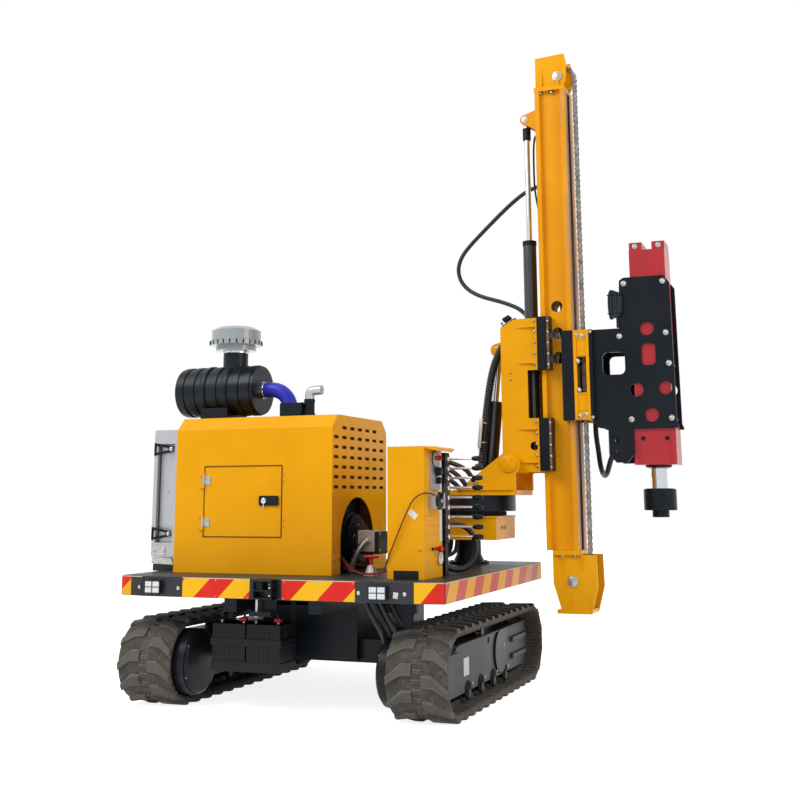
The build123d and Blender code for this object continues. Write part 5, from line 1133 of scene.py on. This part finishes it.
bm = bmesh.new()
for way, radius, height in ((548, 66, 44), (52, 67, 30)):
    hoop(bm, tilt_foot + tilt_axis * way, tilt_axis, 61, radius, height)
finished("tilt_gland", bm, "tilt_barrel", barrel_black, bevel=1.5)
bm = bmesh.new()
turned(bm, (838, 1786, 1730), tilt_axis, ((13, 0), (15, 4), (15, 222), (13, 226)), 16)
pin(bm, (836.6, 1786, 1716), tilt_axis, 8, 14, 12)
for x, z in ((852, 1766), (868, 1916)):
    hoop(bm, (x, tilt_hose_y, z), tilt_axis, 33, 35, 9)
    block(bm, (x - 12, x - 4), (1798, 1804), (z, z + 9))
finished("tilt_valve", bm, "tilt_barrel", pale_steel, bevel=1)
bm = bmesh.new()
hoop(bm, (lift_x, turret_y, 3318), upwards, 52, 56, 38)
hoop(bm, (lift_x, turret_y, 1642), upwards, 52, 58, 30)
finished("lift_gland", bm, "carrier", frame_black, bevel=1.5)
bm = bmesh.new()
turned(bm, (lift_x, turret_y, 4196), upwards, ((30, 0), (33, 4), (33, 100), (24, 104)), 28)
finished("lift_sleeve", bm, "mast", frame_black)

# Mast: a tall yellow welded section, greased and rubbed brown where the guides run, with bolted and
# gusseted head and foot plates, a twisted hose drawn through its slot and two thin leads at the rear.
mast_front, axle_x, head_axle_z, foot_axle_z = 1585, 1530, 4664, 745


def mast_tint(t, use):
    """Yellow paint, with brown grease in the slot and streaks along the guided front strips."""
    x, y, z = machine_xyz(t)
    off = sum_of(t, sum_of(t, y, turret_y / 1000, "SUBTRACT"), 0, "ABSOLUTE")
    spot = node(t, "TexCoord").outputs["Object"]
    drawn = node(t, "Mapping", {"Vector": spot, "Scale": (30.0, 30.0, 1.3)}).outputs[0]
    streak = node(t, "TexNoise", {"Vector": drawn, "Scale": 1.0, "Detail": 5.0}).outputs["Fac"]
    paint = mixed(t, use["Cloud"], colour(240, 164, 0), colour(228, 153, 2))
    in_slot = sum_of(t, span(t, off, 0.098, 0.094), span(t, x, 1.40, 1.42), "MULTIPLY")
    rubbed = sum_of(t, span(t, x, 1.546, 1.552), span(t, streak, 0.46, 0.62), "MULTIPLY")
    rubbed = sum_of(t, rubbed, 0.62, "MULTIPLY")
    greased = mixed(t, in_slot, paint, mixed(t, streak, colour(96, 58, 38), colour(140, 92, 58)))
    return mixed(t, rubbed, greased, colour(188, 144, 104))


mast_paint = surface("mast_paint", mast_tint, (176, 124, 66), 0.36, edge=(0.003, 0.36), dust=0.1,
                     coat=0.03, gloss=0.16)
dress(mast_paint, "mast")
dress(rig_yellow, "mast_head", "mast_foot")
# Gussets of the head, of the foot's top and of its sole: their X places, thickness and outline of (out, Z).
mast_gussets = (
    ((1393, 1529), 12, ((124, 4579), (149, 4579), (149, 4600), (124, 4770))),
    ((1460, 1600), 11, ((129, 933), (149, 933), (129, 800))),
    ((1521, 1660), 11, ((129, 543), (139, 543), (129, 680))),
)
axle_end = ((41, 0), (41, 5), (31, 6), (31, 10), (27, 12))
# The black discs in dark are painted shade of holes: round the head's nuts, and in a row down the mast's
# front.
bm, shiny, dark = bmesh.new(), bmesh.new(), bmesh.new()
for side in (-1, 1):
    for places, thick, outline in mast_gussets:
        for x in places:
            plate(bm, [(turret_y + side * out, z) for out, z in outline], x, thick)
    for z, out in ((head_axle_z, 128), (foot_axle_z, 133)):
        turned(shiny, (axle_x, turret_y + side * out, z), (0, side, 0), axle_end, 28)
    for x in (1386, 1478):
        turned(shiny, (x, turret_y + side * 128, 4548), downwards, ((17, 0), (17, 5), (12, 6), (12, 22)), 16)
        pin(dark, (x, turret_y + side * 128, 4546), downwards, 24, 1.5, 16)
    for x in (1452, 1552):
        turned(shiny, (x, turret_y + side * 139, 934), downwards, ((13, 0), (13, 4), (9, 5), (9, 16)), 12)
    turned(shiny, (lift_x, turret_y + side * 49, 4360), (0, side, 0),
           ((27, 0), (27, 4), (12, 5), (12, 9)), 24)
    for z in range(1100, 4500, 340):
        pin(dark, (mast_front - 0.5, turret_y + side * 62, z), to_right, 8, 1, 10)
finished("mast_gussets", bm, "mast", rig_yellow, bevel=1)
finished("mast_bolts", shiny, "mast", zinc)
finished("mast_hole_shade", dark, "mast", frame_black)
twisted = [(1474 + 9 * cos(0.9 * i), turret_y - 12 + 9 * sin(0.9 * i), 1120 + 40 * i) for i in range(58)]
pipe("slot_hose", "mast", 13, twisted, hose_rubber, 10, 0.018)
for number, y in ((1, 1860), (2, 1876)):
    pipe(f"foot_cable_{number}", "mast", 6,
         ((1330, y, 4200), (1312, y, 4180), (1306, y, 3960), (1310, y, 3700), (1342, y + 10, 3560)),
         hose_rubber, 8)

# Chain: roller links in oiled bare steel, plates outside and inside in turn. It runs up the mast's front,
# round the head axle, down through the section and round the foot axle.
chain_steel = surface("chain_steel", ((176, 172, 166), (120, 116, 110)), (206, 202, 196), 0.38, metal=0.6,
                      bare_metal=0.95, edge=(0.001, 0.4), dust=0.4, cloud=16.0, grain=0.6)
chain_radius, chain_links = 110, 194
chain_run, chain_bend = head_axle_z - foot_axle_z, pi * chain_radius


def on_chain(way):
    """X, Z and the heading at this way round the chain."""
    way %= 2 * (chain_run + chain_bend)
    if way < chain_run:
        return axle_x + chain_radius, foot_axle_z + way, pi / 2
    if way < chain_run + chain_bend:
        a = (way - chain_run) / chain_radius
        return axle_x + chain_radius * cos(a), head_axle_z + chain_radius * sin(a), a + pi / 2
    if way < 2 * chain_run + chain_bend:
        return axle_x - chain_radius, head_axle_z - (way - chain_run - chain_bend), -pi / 2
    a = (way - 2 * chain_run - chain_bend) / chain_radius + pi
    return axle_x + chain_radius * cos(a), foot_axle_z + chain_radius * sin(a), a + pi / 2


bm = bmesh.new()
link_pitch = 2 * (chain_run + chain_bend) / chain_links
waisted = [(link_pitch / 2 + 17 * cos(a), 17 * sin(a)) for a in (-pi / 2 + pi * i / 4 for i in range(5))]
waisted += [(0, 12)] + [(-x, y) for x, y in reversed(waisted)] + [(0, -12)]
for i in range(chain_links):
    x, z, _ = on_chain(i * link_pitch)
    pin(bm, (x, turret_y - 26, z), to_front, 6, 52, 8)
    pin(bm, (x, turret_y - 12, z), to_front, 10, 24, 10)
    x, z, heading = on_chain((i + 0.5) * link_pitch)
    outline = [(x + a * cos(heading) - b * sin(heading), z + a * sin(heading) + b * cos(heading))
               for a, b in waisted]
    for y in ((-23, 18) if i % 2 else (-17, 12)):
        plate(bm, outline, turret_y + y, 5, "Y")
chain_piece = finished("chain_links", bm, "mast", chain_steel)
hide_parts("chain")

# Sledge: a yellow channel on black guide blocks that grip the mast's front strips, with flange plates,
# ribs, domed zinc bolts and a black row of screws against the hammer's frame.
dress(rig_yellow, "sledge")
dress(frame_black, "sledge_guides")
sledge_half, sledge_low, sledge_high = 190, 1921, 2592
bm, shiny, rail = bmesh.new(), bmesh.new(), bmesh.new()
for side in (-1, 1):
    face = turret_y + side * sledge_half
    for x in ((1604, 1626), (1700, 1719)):
        block(bm, x, sorted((face, face + side * 10)), (sledge_low, sledge_high))
    for z in (1990, 2110, 2404, 2524):
        block(bm, (1626, 1700), sorted((face, face + side * 4)), (z - 4, z + 4))
    for x, z in ((1640, 1947), (1636, 2141), (1632, 2360), (1626, 2558), (1688, 1960), (1674, 2548)):
        turned(shiny, (x, face, z), (0, side, 0), ((18, 0), (18, 4), (13, 5), (12, 14), (6, 19), (1, 20)), 16)
    for i in range(12):
        turned(rail, (1733, face + side * 0.5, 1955 + 55 * i), (0, side, 0), ((8, 0), (8, 3), (5, 3.5)), 6)
    for z in (sledge_low + 14, sledge_high - 14):
        bolt(shiny, (1733, face, z), (0, side, 0), 13)
    for z in range(1960, 2580, 120):
        bolt(rail, (1532, face, z), (0, side, 0), 9)
finished("sledge_flanges", bm, "sledge", rig_yellow, bevel=1)
finished("sledge_bolts", shiny, "sledge", zinc)
finished("sledge_rail", rail, "sledge", frame_black)

# Hammer housing: black laser-cut plates tied together by spacer bolts with bright domed nuts, with a bundle
# of spare hose tied to the near shoulder.
dress(frame_black, "hammer_housing")
housing_half, domed_nut = 150, ((21, 0), (21, 3), (15, 4), (15, 12), (10, 17), (3, 19))
bm, shiny = bmesh.new(), bmesh.new()
spacers = ((1994, 2935), (2284, 2935), (1946, 2536), (2290, 2547), (2013, 1915), (2305, 1918), (2303, 2319))
for x, z in spacers:
    pin(bm, (x, turret_y - 129, z), to_front, 16, 258, 16)
    for side in (-1, 1):
        turned(shiny, (x, turret_y + side * housing_half, z), (0, side, 0), domed_nut, 18)
for x, z in ((2000, 1745), (1862, 1800), (1976, 1800)):
    for side in (-1, 1):
        bolt(bm, (x, turret_y + side * housing_half, z), (0, side, 0), 12)
finished("housing_nuts", shiny, "sledge", zinc)
finished("housing_spacers", bm, "sledge", frame_black)
for number in range(5):
    x, y, lean = 1890 + 13 * number, turret_y - 166 - 5 * (number % 2), 6 * number
    pipe(f"spare_hose_{number + 1}", "sledge", 7.5,
         ((x, y, 2668 + lean), (x - 8, y, 2700), (x - 14, y, 2800), (x - 4, y, 2876 - lean),
          (x + 16, y - 2, 2890 - lean), (x + 32, y - 2, 2850), (x + 30, y - 2, 2740),
          (x + 18, y, 2672 + lean), (x + 2, y, 2664 + lean)), hose_rubber, 8, 0.012)
bm = bmesh.new()
for z in (2706, 2846):
    block(bm, (1868, 1984), (turret_y - 182, turret_y - 150), (z, z + 6))
block(bm, (1930, 1952), (turret_y - 162, turret_y - 140), (2600, 2856))
finished("spare_ties", bm, "sledge", black_plastic, bevel=1)

# Breaker: a red painted square body with raised pads and black plugs on its sides, bolts on its ears, a
# bright shank and a black turned cap for the pile's head.
breaker_red = surface("breaker_red", ((190, 26, 40), (166, 20, 32)), (130, 84, 84), 0.34, edge=(0.004, 0.5),
                      dust=0.3, coat=0.4)
dress(breaker_red, "breaker")
dress(chrome, "shank")
dress(frame_black, "pile_cap")
breaker_x, breaker_half = 2172, 130
bm, shiny, dark = bmesh.new(), bmesh.new(), bmesh.new()
for side in (-1, 1):
    for ear in (-1, 1):
        turned(shiny, (breaker_x + ear * 88, turret_y + side * (breaker_half - 21), 3222), (0, side, 0),
               ((20, 0), (20, 4), (14, 5), (14, 10)), 16)
    for x, z in ((2088, 1774), (2262, 1773)):
        turned(dark, (x, turret_y + side * (breaker_half - 0.5), z), (0, side, 0),
               ((17, 0), (17, 1.5), (13, 1.5), (13, 1)), 20)
    face = turret_y + side * breaker_half
    plate(bm, oval(breaker_x, 3040, 96, 60, 16), face, side * 6, "Y")
    for x in (2060, 2284):
        block(bm, (x - 5, x + 5), sorted((face, face + side * 5)), (1600, 1850))
for x in (-70, 70):
    for y in (-70, 70):
        bolt(shiny, (breaker_x + x, turret_y + y, 3190), upwards, 22)
turned(dark, (breaker_x, turret_y, 1582), downwards, ((96, 0), (96, 14), (74, 22), (62, 24)), 40)
finished("breaker_pads", bm, "sledge", breaker_red, bevel=2)
finished("breaker_nuts", shiny, "sledge", zinc)
finished("breaker_bush", dark, "sledge", frame_black, bevel=1)
bm = bmesh.new()
turned(bm, (breaker_x, turret_y, 1254), upwards,
       ((98, 2), (112, 3), (119, 12), (119, 118), (116, 122), (116, 126), (119, 130), (119, 144), (104, 158),
        (70, 160)), 48)
finished("cap_collar", bm, "sledge", frame_black)

# The visual model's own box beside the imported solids' box, kept for comparing them.
size = {"cad": [list(corner) for corner in cad_box], "visual": [list(corner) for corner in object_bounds()]}
